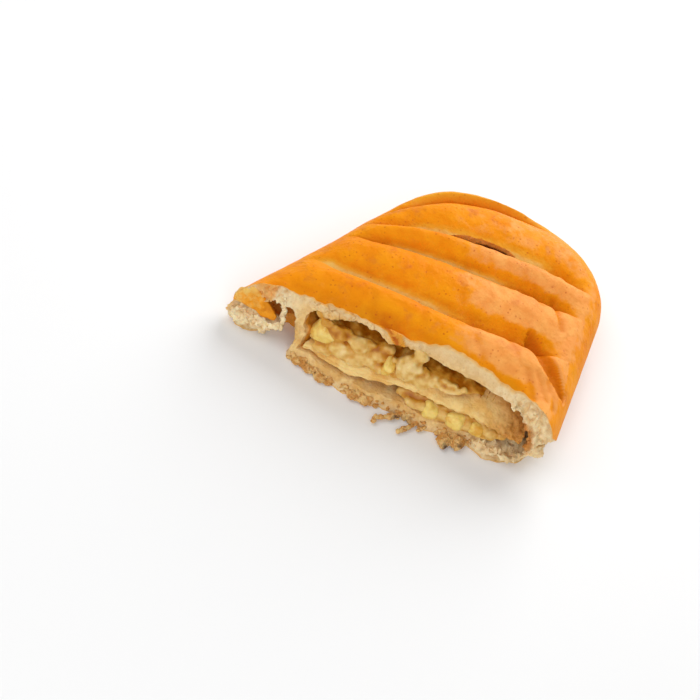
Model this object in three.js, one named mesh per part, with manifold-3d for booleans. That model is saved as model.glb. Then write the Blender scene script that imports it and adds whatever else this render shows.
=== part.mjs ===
// Half of an apple strudel: a yeast-dough loaf with a rounded end, slanted slashes across its top and a torn
// face where the other half was pulled away. The dough is a shell round a hollow. In the hollow lie a lower
// pocket of apple, a folded sheet of dough, and the main bed of apple in thick syrup, with large apple dice.
// Millimetres, +Z up. X runs along the torn edge, +Y away from it towards the rounded end.

import * as THREE from "three";
import { RoundedBoxGeometry } from "three/addons/geometries/RoundedBoxGeometry.js";
import { mergeVertices } from "three/addons/utils/BufferGeometryUtils.js";
import Module from "manifold-3d";

const wasm = await Module();
wasm.setup();

// ---------------------------------------------------------------- driving dimensions

const TEAR_Y = -57; // the torn edge at the floor
const TEAR_LEAN = 0.42; // the torn face falls back this much for each millimetre of height
const END_Y = 58; // tip of the rounded end
const TEAR_WIDTH = 139; // the loaf's width where it is torn
const WIDTH_LOST = 0.245; // half width lost for each millimetre towards the end
const SWAY = 0.195; // sideways shift of the centre line for each millimetre towards the end
const ROUND_FROM_Y = 25; // where the end starts to round
const END_ROUNDNESS = 2.3; // superellipse power of the rounded end

const CROWN_Z = 37; // top of the crown
const RIM_LIFT = 2.2; // the rim at the rounded end stands this much above an even fall
const BULGE_Z = 10; // height at which the sides stand widest
const TUCK = 5; // how far the sides tuck in under the bulge
const CROWN_FALLS_FROM_Y = 5; // where the crown starts to fall towards the end
const UNEVEN = 0.3; // the rim of the underside stands on the floor at every sixth ring, and is this high between

// Rows across the loaf: y of the left end, y of the right end, and how far the middle bows towards the rounded
// end. The first is the slash along which the top is torn, the next three are slashes, then the crease of the
// rim, then the tip.
const ROWS = [
  [-50, -47, 4],
  [-24, -10, -9],
  [-5, 14, -2.5],
  [4.5, 29, 1.5],
  [9, 36, 25.5],
  [END_Y, END_Y, 0],
];
const GROOVE_DEPTH = 6; // the strips stand this proud of the slashes
const RIM_CREASE_DEPTH = 5.5;
const FOLD_DEPTH = 2.6;
const FOLD_LINE = [[43, -15], [50, -20], [57, -24.5], [62, -26]];
const ROWS_BEYOND_TEAR = 1.8; // the loaf is made this many strips too long, then torn
const BEYOND_PITCH = 20;
const BEYOND_TEAR_Y = -84;

const BASE_THICKNESS = 5.2;
const TOP_THICKNESS = 9.5;
const RIGHT_THICKNESS = 10;
const LEFT_THICKNESS_AT_TEAR = 33; // up to the inner wall that holds the filling
const LEFT_THICKNESS = 14; // further in
const END_THICKNESS = 13;
const FIT = 0.35; // gap between neighbouring pieces

// ---------------------------------------------------------------- small helpers

const { clamp, lerp } = THREE.MathUtils;
const ramp = (from, to, x) => THREE.MathUtils.smoothstep(x, from, to);
const bump = (x, middle, reach) => Math.exp(-(((x - middle) / reach) ** 2));

// A value read off a line through [x, value] stations.
function along(stations, x) {
  for (let i = 1; i < stations.length; i++) {
    const [[x0, v0], [x1, v1]] = [stations[i - 1], stations[i]];
    if (x < x1) return lerp(v0, v1, clamp((x - x0) / (x1 - x0), 0, 1));
  }
  return stations[stations.length - 1][1];
}

// Smooth lumps, about -1 to 1 and roughly `size` across. The seed picks another pattern.
function lumps(x, y, z, size, seed = 0) {
  const k = Math.PI / size;
  const [u, v, w] = [k * x + 1.9 * seed, k * y - 2.3 * seed, k * z + 3.1 * seed];
  const a = Math.sin(u + 1.4 * Math.sin(0.7 * w + 0.5 * v)) * Math.cos(w + 1.2 * Math.sin(0.8 * u - 0.4 * v));
  const b = Math.sin(0.6 * v + 0.5 * u + 1.3 * Math.sin(0.9 * w)) * Math.cos(0.7 * v - 0.8 * w);
  return 0.7 * a + 0.4 * b;
}

// A closed three.js geometry as a manifold-3d solid.
function solid(geometry) {
  const bare = geometry.clone();
  bare.deleteAttribute("normal");
  bare.deleteAttribute("uv");
  const merged = mergeVertices(bare, 1e-4);
  return new wasm.Manifold(
    new wasm.Mesh({
      numProp: 3,
      vertProperties: merged.attributes.position.array,
      triVerts: new Uint32Array(merged.index.array),
    }),
  );
}

// Moves every vertex of a geometry by a function of its place.
function shape(geometry, place) {
  const position = geometry.attributes.position;
  const p = new THREE.Vector3();
  for (let i = 0; i < position.count; i++) {
    p.fromBufferAttribute(position, i);
    place(p);
    position.setXYZ(i, p.x, p.y, p.z);
  }
  return geometry;
}

// A closed skin through rings of points that all have the same count, with a fan over each end.
function loft(rings) {
  const count = rings[0].length;
  const points = rings.flat();
  const index = [];
  for (let r = 0; r + 1 < rings.length; r++)
    for (let i = 0; i < count; i++) {
      const [a, b] = [r * count + i, r * count + ((i + 1) % count)];
      index.push(a, b, a + count, b, b + count, a + count);
    }
  for (const [r, flip] of [[0, false], [rings.length - 1, true]]) {
    const hub = points.length;
    points.push(rings[r].reduce((sum, p) => sum.add(p), new THREE.Vector3()).divideScalar(count));
    for (let i = 0; i < count; i++) {
      const [a, b] = [r * count + i, r * count + ((i + 1) % count)];
      index.push(...(flip ? [hub, a, b] : [hub, b, a]));
    }
  }
  const geometry = new THREE.BufferGeometry().setFromPoints(points);
  geometry.setIndex(index);
  return geometry;
}

// Everything below a height that is a function of x and y.
function below(height) {
  const box = new THREE.BoxGeometry(136, 128, 1, 30, 10, 1);
  return solid(
    shape(box, (p) => {
      p.x += 6;
      p.y -= 6;
      p.z = p.z > 0 ? height(p.x, p.y) : -50;
    }),
  );
}

// ---------------------------------------------------------------- the loaf's form

const centreX = (y) => SWAY * (y - TEAR_Y - 2);

// Half the loaf's width at y, less an inset from its side, for a loaf whose tip lies at `end`.
function halfWidth(y, inset = 0, end = END_Y) {
  const straight = TEAR_WIDTH / 2 - WIDTH_LOST * (y - TEAR_Y - 7) - inset;
  const t = clamp((y - ROUND_FROM_Y) / (end - ROUND_FROM_Y), 0, 1);
  return Math.max(straight, 1) * Math.pow(1 - Math.pow(t, END_ROUNDNESS), 1 / END_ROUNDNESS);
}

// The left side swells more than the right one, most of all where the end rounds.
const swell = (y) => 1 + 0.075 * bump(y, 44, 12) + 0.022 * bump(y, 14, 14);

// Height of the crown along the loaf, for a loaf whose tip lies at `end`.
function crownZ(y, end = END_Y) {
  const t = clamp((y - CROWN_FALLS_FROM_Y) / (end + 1 - CROWN_FALLS_FROM_Y), 0, 1);
  return BULGE_Z + (CROWN_Z - BULGE_Z) * Math.sqrt(1 - Math.pow(t, 3.2));
}

// How high the arch over the loaf stands at a place across it: 1 on the crown, 0 at the sides. The left shoulder
// slopes and the right one is squarer. The hollow is square on both sides.
function arch(u, y, square) {
  const back = ramp(TEAR_Y, ROUND_FROM_Y, y);
  const power = square ? 6 : u < 0 ? lerp(2.1, 2.9, back) : lerp(5, 3.2, back);
  return Math.sqrt(Math.max(0, 1 - Math.pow(Math.min(1, Math.abs(u)), power)));
}

// The row that lies `phase` strips from the torn slash: the y of its ends, and its bow.
function rowAt(phase) {
  const i = clamp(Math.floor(phase), 0, ROWS.length - 2);
  const beyond = Math.min(phase, 0) * BEYOND_PITCH;
  const t = Math.max(phase, 0) - i;
  return [0, 1, 2].map((k) => lerp(ROWS[i][k], ROWS[i + 1][k], t) + (k < 2 ? beyond : 0));
}

// How far the surface lies below the loaf's arch: 0 on a strip's ridge, the full depth in a slash. A slash fades
// out before it reaches the sides, and `across` runs from -1 at the left to 1.
function grooveDepth(phase, across) {
  const reach = ramp(-0.95, -0.6, across) * (1 - ramp(0.6, 0.88, across));
  const rimReach = ramp(-1, -0.86, across) * (1 - ramp(-0.15, 0.45, across));
  if (phase > 4) {
    const lift = RIM_LIFT * Math.sin(Math.PI * Math.min(phase - 4, 1)) * (1 - ramp(0, 0.6, across));
    return RIM_CREASE_DEPTH * rimReach * (1 - Math.pow(Math.min((phase - 4) / 0.3, 1), 0.7)) - lift;
  }
  const near = 1 - Math.pow(Math.abs(Math.sin(Math.PI * Math.max(phase, 0))), 0.6);
  return near * lerp(GROOVE_DEPTH * reach, RIM_CREASE_DEPTH * rimReach, ramp(3.5, 4, phase));
}

// How deep the dough is folded in on the right shoulder, where the second slash ends.
function foldDepth(x, y) {
  const nearest = FOLD_LINE.slice(1).map(([x1, y1], i) => {
    const [x0, y0] = FOLD_LINE[i];
    const [dx, dy] = [x1 - x0, y1 - y0];
    const t = clamp(((x - x0) * dx + (y - y0) * dy) / (dx * dx + dy * dy), 0, 1);
    return Math.hypot(x - x0 - t * dx, y - y0 - t * dy);
  });
  return FOLD_DEPTH * bump(Math.min(...nearest), 0, 3.2);
}

// One ring round the loaf, or round the hollow in it.
function ring([yLeft, yRight, bow], columns, { left, right, end, floor, top, depth, square, rim = floor }) {
  const side = (y, sign) => {
    const reach = halfWidth(y, sign < 0 ? left(y) : right, end);
    return centreX(y) + sign * reach * (sign < 0 && !square ? swell(y) : 1);
  };
  const [xLeft, xRight] = [side(yLeft, -1), side(yRight, 1)];
  const under = floor > 0 ? 0 : Math.min(TUCK, (xRight - xLeft) * 0.2);
  const waist = Math.max(BULGE_Z, floor + 1);
  const points = [];
  const add = (across, z, squeeze = 0) => {
    const x = lerp(xLeft, xRight, (across + 1) / 2);
    const y = lerp(yLeft, yRight, (across + 1) / 2) + bow * (1 - across * across);
    points.push(new THREE.Vector3(x - Math.sign(across) * squeeze, y, z));
    return points[points.length - 1];
  };
  add(-1, rim, under);
  add(-1, lerp(floor, waist, 0.45), under * 0.3);
  for (let i = 0; i <= columns; i++) {
    const across = -Math.cos((Math.PI * i) / columns);
    const p = add(across, 0);
    const edges = [side(p.y, -1), side(p.y, 1)];
    const u = clamp((2 * (p.x - edges[0])) / Math.max(edges[1] - edges[0], 0.01) - 1, -1, 1);
    const rise = i === 0 || i === columns ? 0 : arch(u, p.y, square);
    const crown = Math.max(crownZ(p.y, end) - top, waist + 0.3);
    p.z = waist + (crown - waist) * rise - depth(across) * clamp(rise * 1.8 - 0.35, 0, 1);
    if (!square) {
      const fold = foldDepth(p.x, p.y) * clamp(rise * 2, 0, 1);
      p.z -= fold * 0.8;
      p.x -= fold * 0.7;
    }
  }
  add(1, lerp(floor, waist, 0.45), under * 0.3);
  add(1, rim, under);
  return points;
}

// The loaf's skin. Rings are closest in the slashes, where the surface bends most, and at the rounded end.
function loaf(perStrip, atEnd, columns) {
  const phases = [-ROWS_BEYOND_TEAR, -0.75, -0.25];
  for (let strip = 0; strip < 4; strip++)
    for (let i = 0; i < perStrip; i++) {
      const t = i / perStrip;
      phases.push(strip + t - (0.5 * Math.sin(2 * Math.PI * t)) / (2 * Math.PI));
    }
  for (let i = 0; i <= atEnd; i++) phases.push(4 + 0.998 * Math.sin((Math.PI / 2) * (i / atEnd)));
  const form = { left: () => 0, right: 0, end: END_Y, floor: 0, top: 0 };
  return solid(
    loft(
      phases.map((phase, i) => {
        const depth = (across) => grooveDepth(phase, across);
        return ring(rowAt(phase), columns, { ...form, depth, rim: i % 6 === 0 && i > 0 ? 0 : UNEVEN });
      }),
    ),
  );
}

// The hollow in the dough. The gap makes it smaller all round, for what lies inside it.
function hollow(gap = 0) {
  const end = END_Y - END_THICKNESS - gap;
  const form = {
    left: (y) => lerp(LEFT_THICKNESS_AT_TEAR, LEFT_THICKNESS, ramp(-30, 12, y)) + gap,
    right: RIGHT_THICKNESS + gap,
    end,
    floor: BASE_THICKNESS + gap,
    top: TOP_THICKNESS + gap,
    depth: () => 0,
    square: true,
  };
  const rings = [];
  for (let i = 0; i <= 14; i++) {
    const y = lerp(BEYOND_TEAR_Y, end - 0.02, 1 - Math.pow(1 - i / 14, 1.6));
    rings.push(ring([y, y, 0], 16, form));
  }
  return solid(loft(rings));
}

// ---------------------------------------------------------------- the torn face

// The torn edge at the floor steps back at the right, where the loaf's corner is rounded.
const TEAR_STEPS = [[-75, 8], [-68, 4], [-60, 2], [-54, 6], [-48, 11], [-43, 10], [-40, 1], [-20, -1.5], [-4, -1.5],
  [7, 1.5], [22, 1.5], [39, 5.5], [47, 3], [54, 5], [60, 9], [66, 15], [72, 22]];

// y of the torn face at a height. Roughness is the height of its crags.
function tearY(x, z, roughness = 1) {
  const stepped = along(TEAR_STEPS, x) * (1 - ramp(3, 16, z));
  const corner = 14 * ramp(60, 70, x) * (1 - ramp(6, 18, z));
  const tooth = -3.5 * bump(x, -6, 5) * ramp(22, 27, z) * (1 - ramp(33, 37, z));
  const crags = (0.8 * lumps(x, 0, z, 5.3, 1) + 0.5 * lumps(x, 0, z, 3.1, 4)) * (1 - 0.5 * ramp(24, 32, z));
  return TEAR_Y + TEAR_LEAN * z + stepped + corner + tooth + roughness * crags;
}

// Everything in front of the torn face, moved back by `setBack`.
function inFrontOfTear(columns, rows, roughness, setBack = 0) {
  const box = new THREE.BoxGeometry(160, 1, 50, columns, 1, rows);
  return solid(
    shape(box, (p) => {
      const back = p.y > 0;
      p.z += 20;
      p.y = back ? tearY(p.x, p.z, roughness) + setBack : -120;
    }),
  );
}

// ---------------------------------------------------------------- dough

const tear = inFrontOfTear(76, 22, 1);

// A rounded block with its middle at a place, turned about Z.
function block(size, place, turn = [0, 0, 0], radius = 1.5, segments = 2) {
  const geometry = new RoundedBoxGeometry(...size, segments, Math.min(radius, Math.min(...size) * 0.49));
  geometry.rotateX(turn[0]).rotateY(turn[1]).rotateZ(turn[2]).translate(...place);
  return solid(geometry);
}

// A craggy lump.
function lump([x, y, z], [rx, ry, rz], seed, detail = 2) {
  const geometry = new THREE.IcosahedronGeometry(1, detail);
  return solid(
    shape(geometry, (p) => {
      p.multiplyScalar(1 + 0.16 * lumps(p.x, p.y, p.z, 0.7, seed));
      p.set(x + p.x * rx, y + p.y * ry, z + p.z * rz);
    }),
  );
}

// A shred of dough: a thin bent stick through some points, lying on the floor.
function shred(points, radius) {
  const path = new THREE.CatmullRomCurve3(points.map(([x, y, z]) => new THREE.Vector3(x, y, z)));
  const rings = [];
  const steps = 4 * (points.length - 1);
  for (let i = 0; i <= steps; i++) {
    const t = i / steps;
    const middle = path.getPoint(t);
    const ahead = path.getTangent(t);
    const side = new THREE.Vector3(-ahead.y, ahead.x, 0).normalize();
    const up = ahead.clone().cross(side).negate();
    const r = radius * (0.45 + 0.75 * Math.sin(Math.PI * clamp(t, 0.06, 0.94))) * (1 + 0.25 * Math.sin(9 * t));
    rings.push(
      [0, 1, 2, 3, 4, 5].map((k) => {
        const angle = (-2 * Math.PI * k) / 6;
        const p = middle.clone().addScaledVector(side, Math.cos(angle) * r);
        return p.addScaledVector(up, Math.sin(angle) * r * 0.8);
      }),
    );
  }
  return solid(loft(rings));
}

function makeDough() {
  let dough = loaf(8, 9, 30).subtract(hollow()).subtract(roomForDice);

  // The slash in the third row is open in its middle.
  const slit = shape(new THREE.BoxGeometry(2, 2, 1, 14, 1, 1), (p) => {
    const across = lerp(-0.55, 0.3, (p.x + 1) / 2);
    const open = Math.sqrt(Math.max(0.02, 1 - p.x * p.x));
    const phase = 3 + 0.085 * open * Math.sign(p.y) * (p.z > 0 ? 1.1 : 0.8);
    const [yLeft, yRight, bow] = rowAt(phase);
    const ends = [centreX(yLeft) - halfWidth(yLeft), centreX(yRight) + halfWidth(yRight)];
    const y = lerp(yLeft, yRight, (across + 1) / 2) + bow * (1 - across * across);
    p.set(lerp(ends[0], ends[1], (across + 1) / 2), y, p.z > 0 ? 45 : 20);
  });
  dough = dough.subtract(solid(slit));

  // A hollow runs in between the left side and the inner wall, open to the floor at its mouth.
  const sideHollow = block([13.5, 50, 12.5], [-50.2, -62, 12.8], [0, 0, -0.08], 5, 4);
  const mouth = block([10, 34, 14], [-45.6, -58, 5], [0, 0, -0.12], 3, 2);
  dough = dough.subtract(sideHollow).subtract(mouth);

  dough = dough.subtract(tear);

  // Porous lumps stand out at the foot of the left side and at the right corner of the base.
  const feet = [
    lump([-63, -51, 5.4], [6.5, 5, 4.8], 1),
    lump([-55.5, -51, 5.6], [5.5, 4.6, 4.4], 2),
    lump([-49.5, -50, 8], [3.4, 3.4, 2.4], 5, 1),
    lump([45.5, -50, 4.6], [5.8, 4.6, 4.4], 3),
    lump([53, -48, 5], [6.5, 4.8, 4.6], 4),
    lump([61, -42, 7.5], [7, 6, 5], 6),
  ];

  // Crumbs and shreds hang on at the torn edge of the base.
  const crumbs = [
    lump([-35, -57.5, 1.6], [2.6, 1.8, 1.5], 7, 1),
    lump([-29.5, -58, 1.7], [2.9, 2, 1.4], 8, 1),
    lump([-23.5, -59.5, 1.5], [2.8, 2, 1.4], 9, 1),
    lump([-9, -59.5, 1.6], [3.2, 1.9, 1.5], 10, 1),
    lump([-4, -59, 1.5], [3, 1.8, 1.4], 11, 1),
    lump([31, -56.6, 2], [3.2, 4.4, 1.7], 12, 1),
    lump([36.4, -54.6, 2], [3.2, 3.6, 1.7], 13, 1),
    shred([[12.6, -53, 2], [8.4, -59.6, 1.9], [4.8, -61.4, 1.8], [3, -64, 1.6], [3.4, -66.5, 1.5]], 1.3),
    shred([[18.5, -55, 1.5], [16.5, -59, 1.3], [14.4, -62, 1.2], [13.2, -64.2, 1.1]], 1.2),
  ];
  const outside = wasm.Manifold.union(feet).subtract(hollow());
  dough = wasm.Manifold.union([dough, outside, ...crumbs]);
  return dough.subtract(block([400, 400, 40], [0, 0, -20], [0, 0, 0], 0.1, 1));
}

// ---------------------------------------------------------------- sheet of dough and fillings

// Heights of the rolled-in sheet of dough at the tear, from left to right. It lies on the base at the left and
// swells towards its folded right end.
const SHEET_UNDER = [[-40, 5.9], [-10, 6.2], [-2, 7.6], [7, 10.4], [26, 11.8], [41, 13.2], [50, 12.4], [60, 12]];
const SHEET_OVER = [[-40, 8.2], [-18, 10.2], [0, 11.6], [5, 13.1], [13, 15.2], [21, 16.9], [29, 19], [36, 21.6],
  [44, 23], [51, 22.4], [60, 19]];
const SHEET_END_X = 57.5;
// Top of the main bed of filling at the tear.
const BED_TOP = [[-40, 12], [-37, 15], [-33, 19], [-28, 21.5], [-8, 20.9], [-1, 20.6], [2, 25], [6, 26.6], [11, 22.4],
  [20, 23.4], [28, 24.6], [36, 22.8], [42, 23.5], [60, 22]];

const inward = (y) => ramp(TEAR_Y, 40, y);

function sheetUnder(x, y) {
  const shifted = x - 0.9 * centreX(y) + 5;
  return lerp(along(SHEET_UNDER, shifted), 9, 0.5 * inward(y)) + 0.3 * lumps(x, y, 0, 9, 2);
}

function sheetOver(x, y) {
  const shifted = x - 0.9 * centreX(y) + 5;
  const over = lerp(along(SHEET_OVER, shifted), 14, 0.5 * inward(y)) + 0.4 * lumps(x, y, 0, 7, 3);
  return Math.max(over, sheetUnder(x, y) + 1.6);
}

function bedTop(x, y) {
  const high = lerp(along(BED_TOP, x), 22, inward(y) ** 0.5) + 1.1 * lumps(x, y, 0, 6, 5) + 0.5 * lumps(x, y, 3, 3.4, 6);
  return Math.max(high, sheetOver(x, y) + FIT + 1.2);
}

const sheetEnd = (y) => SHEET_END_X + centreX(y) - 0.245 * (y - TEAR_Y) * 0.9;

// What the tear leaves of a piece in the hollow.
function torn(piece, roughness, setBack) {
  return piece.subtract(inFrontOfTear(46, 14, roughness, setBack));
}

// An apple die: size, place of its middle, turn about the three axes.
const DICE = [
  [[10.5, 9, 11.5], [-29.8, -47, 15], [0.2, 0.3, 0.15]],
  [[4.6, 7, 8.4], [-2, -48, 15.2], [0.3, 0.15, 0.2]],
  [[6.6, 7, 5.6], [20.6, -51, 7.6], [0.1, 0.2, 0.3]],
  [[7.6, 7, 6.2], [31.2, -50, 8.4], [0.1, -0.12, -0.2]],
  [[6.8, 7, 5.4], [39.6, -48, 8.6], [0.1, 0.25, 0.2]],
];

const grownBy = (size, gap) => size.map((s) => s + 2 * gap);
const dieSolid = ([size, place, turn], gap = 0) => block(grownBy(size, gap), place, turn, 1.2 + gap, 1);

const room = hollow(FIT);
const roomForDice = wasm.Manifold.union(DICE.map((die) => dieSolid(die, FIT)));

const sheetUnderside = (gap) => below((x, y) => sheetUnder(x, y) + gap);
const sheetTop = (gap) => below((x, y) => sheetOver(x, y) + gap);

// Everything from one side line of the hollow's contents to the other.
function between(left, right) {
  const box = new THREE.BoxGeometry(1, 140, 120, 1, 14, 1);
  return solid(
    shape(box, (p) => {
      p.y -= 8;
      p.x = p.x > 0 ? right(p.y) : left(p.y);
    }),
  );
}

const farLeft = () => -100;
const sheetSlab = sheetTop(0).subtract(sheetUnderside(0));
const sheetPart = sheetSlab.intersect(room).intersect(between(farLeft, sheetEnd));
const sheet = torn(sheetPart, 0.7, 0.3).subtract(roomForDice);

const bedSlab = below(bedTop).subtract(sheetTop(FIT));
const bedPart = bedSlab.intersect(room).intersect(between(farLeft, (y) => sheetEnd(y) - 16));
const upper = torn(bedPart, 1.1, 1).subtract(roomForDice);

const pocketLeft = (y) => 4 + centreX(y);
const pocketPart = sheetUnderside(-FIT).intersect(room).intersect(between(pocketLeft, (y) => sheetEnd(y) - 9));
const lower = torn(pocketPart, 1.1, 1.2).subtract(roomForDice);

// ---------------------------------------------------------------- the part

// The mesh of a solid's largest body, so that a scrap left by a cut is dropped.
function meshOf(body, name, material) {
  const bodies = body.decompose().sort((a, b) => b.volume() - a.volume());
  const { vertProperties, triVerts, numProp } = bodies[0].getMesh();
  const packed = new THREE.InterleavedBuffer(vertProperties, numProp);
  const geometry = new THREE.BufferGeometry();
  geometry.setAttribute("position", new THREE.InterleavedBufferAttribute(packed, 3, 0));
  geometry.setIndex(new THREE.BufferAttribute(triVerts, 1));
  const plain = geometry.toNonIndexed();
  plain.computeVertexNormals();
  const mesh = new THREE.Mesh(plain, material);
  mesh.name = name;
  return mesh;
}

const baked = new THREE.MeshStandardMaterial({ color: 0xe08a1e, roughness: 0.35, metalness: 0 });
const crumb = new THREE.MeshStandardMaterial({ color: 0xe6cf9c, roughness: 0.7, metalness: 0 });
const syrup = new THREE.MeshStandardMaterial({ color: 0xc8963c, roughness: 0.3, metalness: 0 });
const apple = new THREE.MeshStandardMaterial({ color: 0xebcd78, roughness: 0.35, metalness: 0 });

const part = new THREE.Group();
part.add(meshOf(makeDough(), "dough", baked));
part.add(meshOf(sheet, "inner_dough_sheet", crumb.clone()));
part.add(meshOf(upper, "filling_upper", syrup.clone()));
part.add(meshOf(lower, "filling_lower", syrup.clone()));
DICE.forEach((die, i) => part.add(meshOf(dieSolid(die), "apple_die_" + (i + 1), apple.clone())));

// The origin is the middle of the underside of the whole.
const bounds = new THREE.Box3().setFromObject(part);
const middle = bounds.getCenter(new THREE.Vector3());
part.children.forEach((mesh) => mesh.geometry.translate(-middle.x, -middle.y, -bounds.min.z));

export default part;
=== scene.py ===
import random
from math import cos, exp, floor, hypot, pi, radians, sin, sqrt

import bmesh
import bpy
from mathutils import Euler, Matrix, Vector, kdtree, noise
from mathutils.bvhtree import BVHTree


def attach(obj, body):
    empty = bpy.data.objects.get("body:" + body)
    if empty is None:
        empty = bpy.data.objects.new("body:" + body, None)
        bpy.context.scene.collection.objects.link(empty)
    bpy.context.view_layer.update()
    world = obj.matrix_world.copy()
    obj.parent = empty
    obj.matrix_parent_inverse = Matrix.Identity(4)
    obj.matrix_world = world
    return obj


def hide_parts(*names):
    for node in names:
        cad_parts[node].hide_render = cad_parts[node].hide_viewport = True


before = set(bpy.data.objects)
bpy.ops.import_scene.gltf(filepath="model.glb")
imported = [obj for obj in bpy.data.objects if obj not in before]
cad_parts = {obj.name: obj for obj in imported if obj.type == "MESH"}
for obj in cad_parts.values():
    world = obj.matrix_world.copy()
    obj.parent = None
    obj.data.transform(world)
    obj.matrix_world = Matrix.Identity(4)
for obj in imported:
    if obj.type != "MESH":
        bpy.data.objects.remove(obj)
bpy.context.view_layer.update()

# ---------------------------------------------------------------- table, light and viewpoint
# A plain pale table top under broad soft lamps. The view looks down on the torn face from the front, and is
# rolled a little, as if the half were propped on its left side.

AZIMUTH, ELEVATION, ROLL = (radians(a) for a in (6, 50, 24))
DISTANCE = 0.55
FRAME_WIDTH, FOCAL_LENGTH, SENSOR_WIDTH = 700, 1375, 36  # two in pixels, and the sensor in millimetres
AIM = Vector((0.001, -0.0227, 0.015))
AIM_RIGHT, AIM_UP = 65 / FOCAL_LENGTH, 15 / FOCAL_LENGTH  # where the aim shows, as slopes off the middle
LAMPS = (  # name, azimuth, elevation, distance, size and watts
    ("window", 168, 33, 0.85, 0.8, 8.2),
    ("front_fill", 8, 30, 0.9, 0.8, 3.4),
    ("overhead", -70, 55, 0.9, 0.7, 2.3),
)
ROOM_LIGHT, TABLE_GREY = 0.3, 0.9


def direction(azimuth, elevation):
    """Which way a place round the loaf lies from its middle."""
    level = cos(elevation)
    return Vector((sin(azimuth) * level, -cos(azimuth) * level, sin(elevation)))


def placed(name, data):
    """A new object in the scene."""
    made = bpy.data.objects.new(name, data)
    bpy.context.scene.collection.objects.link(made)
    return made


def working_object(bm, name, *materials, face_slot=0):
    """An object made of a bmesh, which is used up."""
    for face in bm.faces:
        face.material_index = face_slot
    mesh = bpy.data.meshes.new(name)
    bm.to_mesh(mesh)
    bm.free()
    for material in materials:
        mesh.materials.append(material)
    return placed(name, mesh)


def new_material(name):
    material = bpy.data.materials.new(name)
    material.use_nodes = True
    return material, material.node_tree, material.node_tree.nodes["Principled BSDF"]


back = direction(AZIMUTH, ELEVATION)
level_right = Vector((0, 0, 1)).cross(back).normalized()
level_up = back.cross(level_right)
right = level_right * cos(ROLL) + level_up * sin(ROLL)
up = level_up * cos(ROLL) - level_right * sin(ROLL)
camera = placed("camera", bpy.data.cameras.new("camera"))
camera.data.sensor_width = SENSOR_WIDTH
camera.data.lens = SENSOR_WIDTH * FOCAL_LENGTH / FRAME_WIDTH
camera.data.clip_start = 0.01
camera.matrix_world = Matrix((right, up, back)).transposed().to_4x4()
camera.location = AIM + DISTANCE * (back - right * AIM_RIGHT - up * AIM_UP)
bpy.context.scene.camera = camera
bpy.context.scene.view_settings.view_transform = "Standard"

for name, azimuth, elevation, distance, size, watts in LAMPS:
    away = direction(radians(azimuth), radians(elevation))
    lamp = placed(name, bpy.data.lights.new(name, "AREA"))
    lamp.data.size, lamp.data.energy = size, watts
    lamp.location = away * distance
    lamp.rotation_euler = away.to_track_quat("Z", "Y").to_euler()

world = bpy.data.worlds.new("room")
bpy.context.scene.world = world
world.use_nodes = True
world.node_tree.nodes["Background"].inputs["Color"].default_value = (1, 1, 1, 1)
world.node_tree.nodes["Background"].inputs["Strength"].default_value = ROOM_LIGHT

table_paint, _, shader = new_material("white_table")
shader.inputs["Base Color"].default_value = (TABLE_GREY, TABLE_GREY, TABLE_GREY, 1)
shader.inputs["Roughness"].default_value = 0.8
slab_top = bmesh.new()
bmesh.ops.create_grid(slab_top, x_segments=1, y_segments=1, size=2)
table_top = working_object(slab_top, "table_top", table_paint)

# ---------------------------------------------------------------- dough
# The baked shell of soft yeast dough, brushed with egg: a rounded end, three slashes, and a torn face of pale
# crumb. One loaf is shaped, hollowed, slashed open and torn, in millimetres from the middle of the torn edge.

TEAR_Y, TEAR_LEAN, END_Y = -57, 0.42, 58
TEAR_WIDTH, WIDTH_LOST, SWAY = 139, 0.245, 0.195
ROUND_FROM_Y, END_ROUNDNESS = 25, 2.3
CROWN_Z, RIM_LIFT, BULGE_Z, TUCK, CROWN_FALLS_FROM_Y = 37, 2.2, 10, 5, 5
ROWS = ((-50, -47, 4), (-24, -10, -9), (-5, 14, -2.5), (4.5, 29, 1.5), (9, 36, 25.5), (END_Y, END_Y, 0))
GROOVE_DEPTH, RIM_CREASE_DEPTH = 6.4, 5.5
FOLD_LINE = ((41.5, -15.5), (45, -20.3), (50.2, -24.6), (56, -26.8), (61.8, -29.3))
FOLD_WALL = (4.6, 7.4, 8.4, 6.4, 3.6)  # how wide the far wall of the fold is at each point of its line
FOLD_SINK = (1.6, 3.6, 4.6, 3.8, 1.6)  # and how deep the fold is
BEYOND_PITCH = 20
BASE_THICKNESS, TOP_THICKNESS, RIGHT_THICKNESS = 5.2, 9.5, 10
LEFT_THICKNESS_AT_TEAR, LEFT_THICKNESS, END_THICKNESS = 33, 14, 13
HOLLOW_END = END_Y - END_THICKNESS
TO_FRAME = Vector((0.028, 4.325, 0))
# Short creases where the dough wrinkled as it rose: two ends and a depth.
CREASES = (
    ((50, -24.5), (57, -33), 0.9), ((53.5, -27), (60, -36), -0.5), ((56, -29), (62, -38), 0.8),
    ((47, -22), (52, -29), -0.4), ((-20.5, -35.5), (-14, -44), 0.55), ((6, -8), (12, -17), 0.5),
    ((9.5, -7), (15.5, -16), -0.35), ((22, -31), (29, -38), 0.4), ((25, -28), (33, -36), -0.3),
    ((43.5, 11), (51.5, -2), 1.3), ((33, 12), (40, 3), 0.4), ((2, 8), (9, 0), 0.35), ((20, 22), (30, 10), 0.4),
    ((34, -22), (43, -32), 0.5), ((50, -30), (58, -38), 0.8), ((46, -32), (53, -41), 0.7),
    ((-2, -28), (3, -38), 0.35), ((-30, -18), (-25, -26), 0.3),
)
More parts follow.
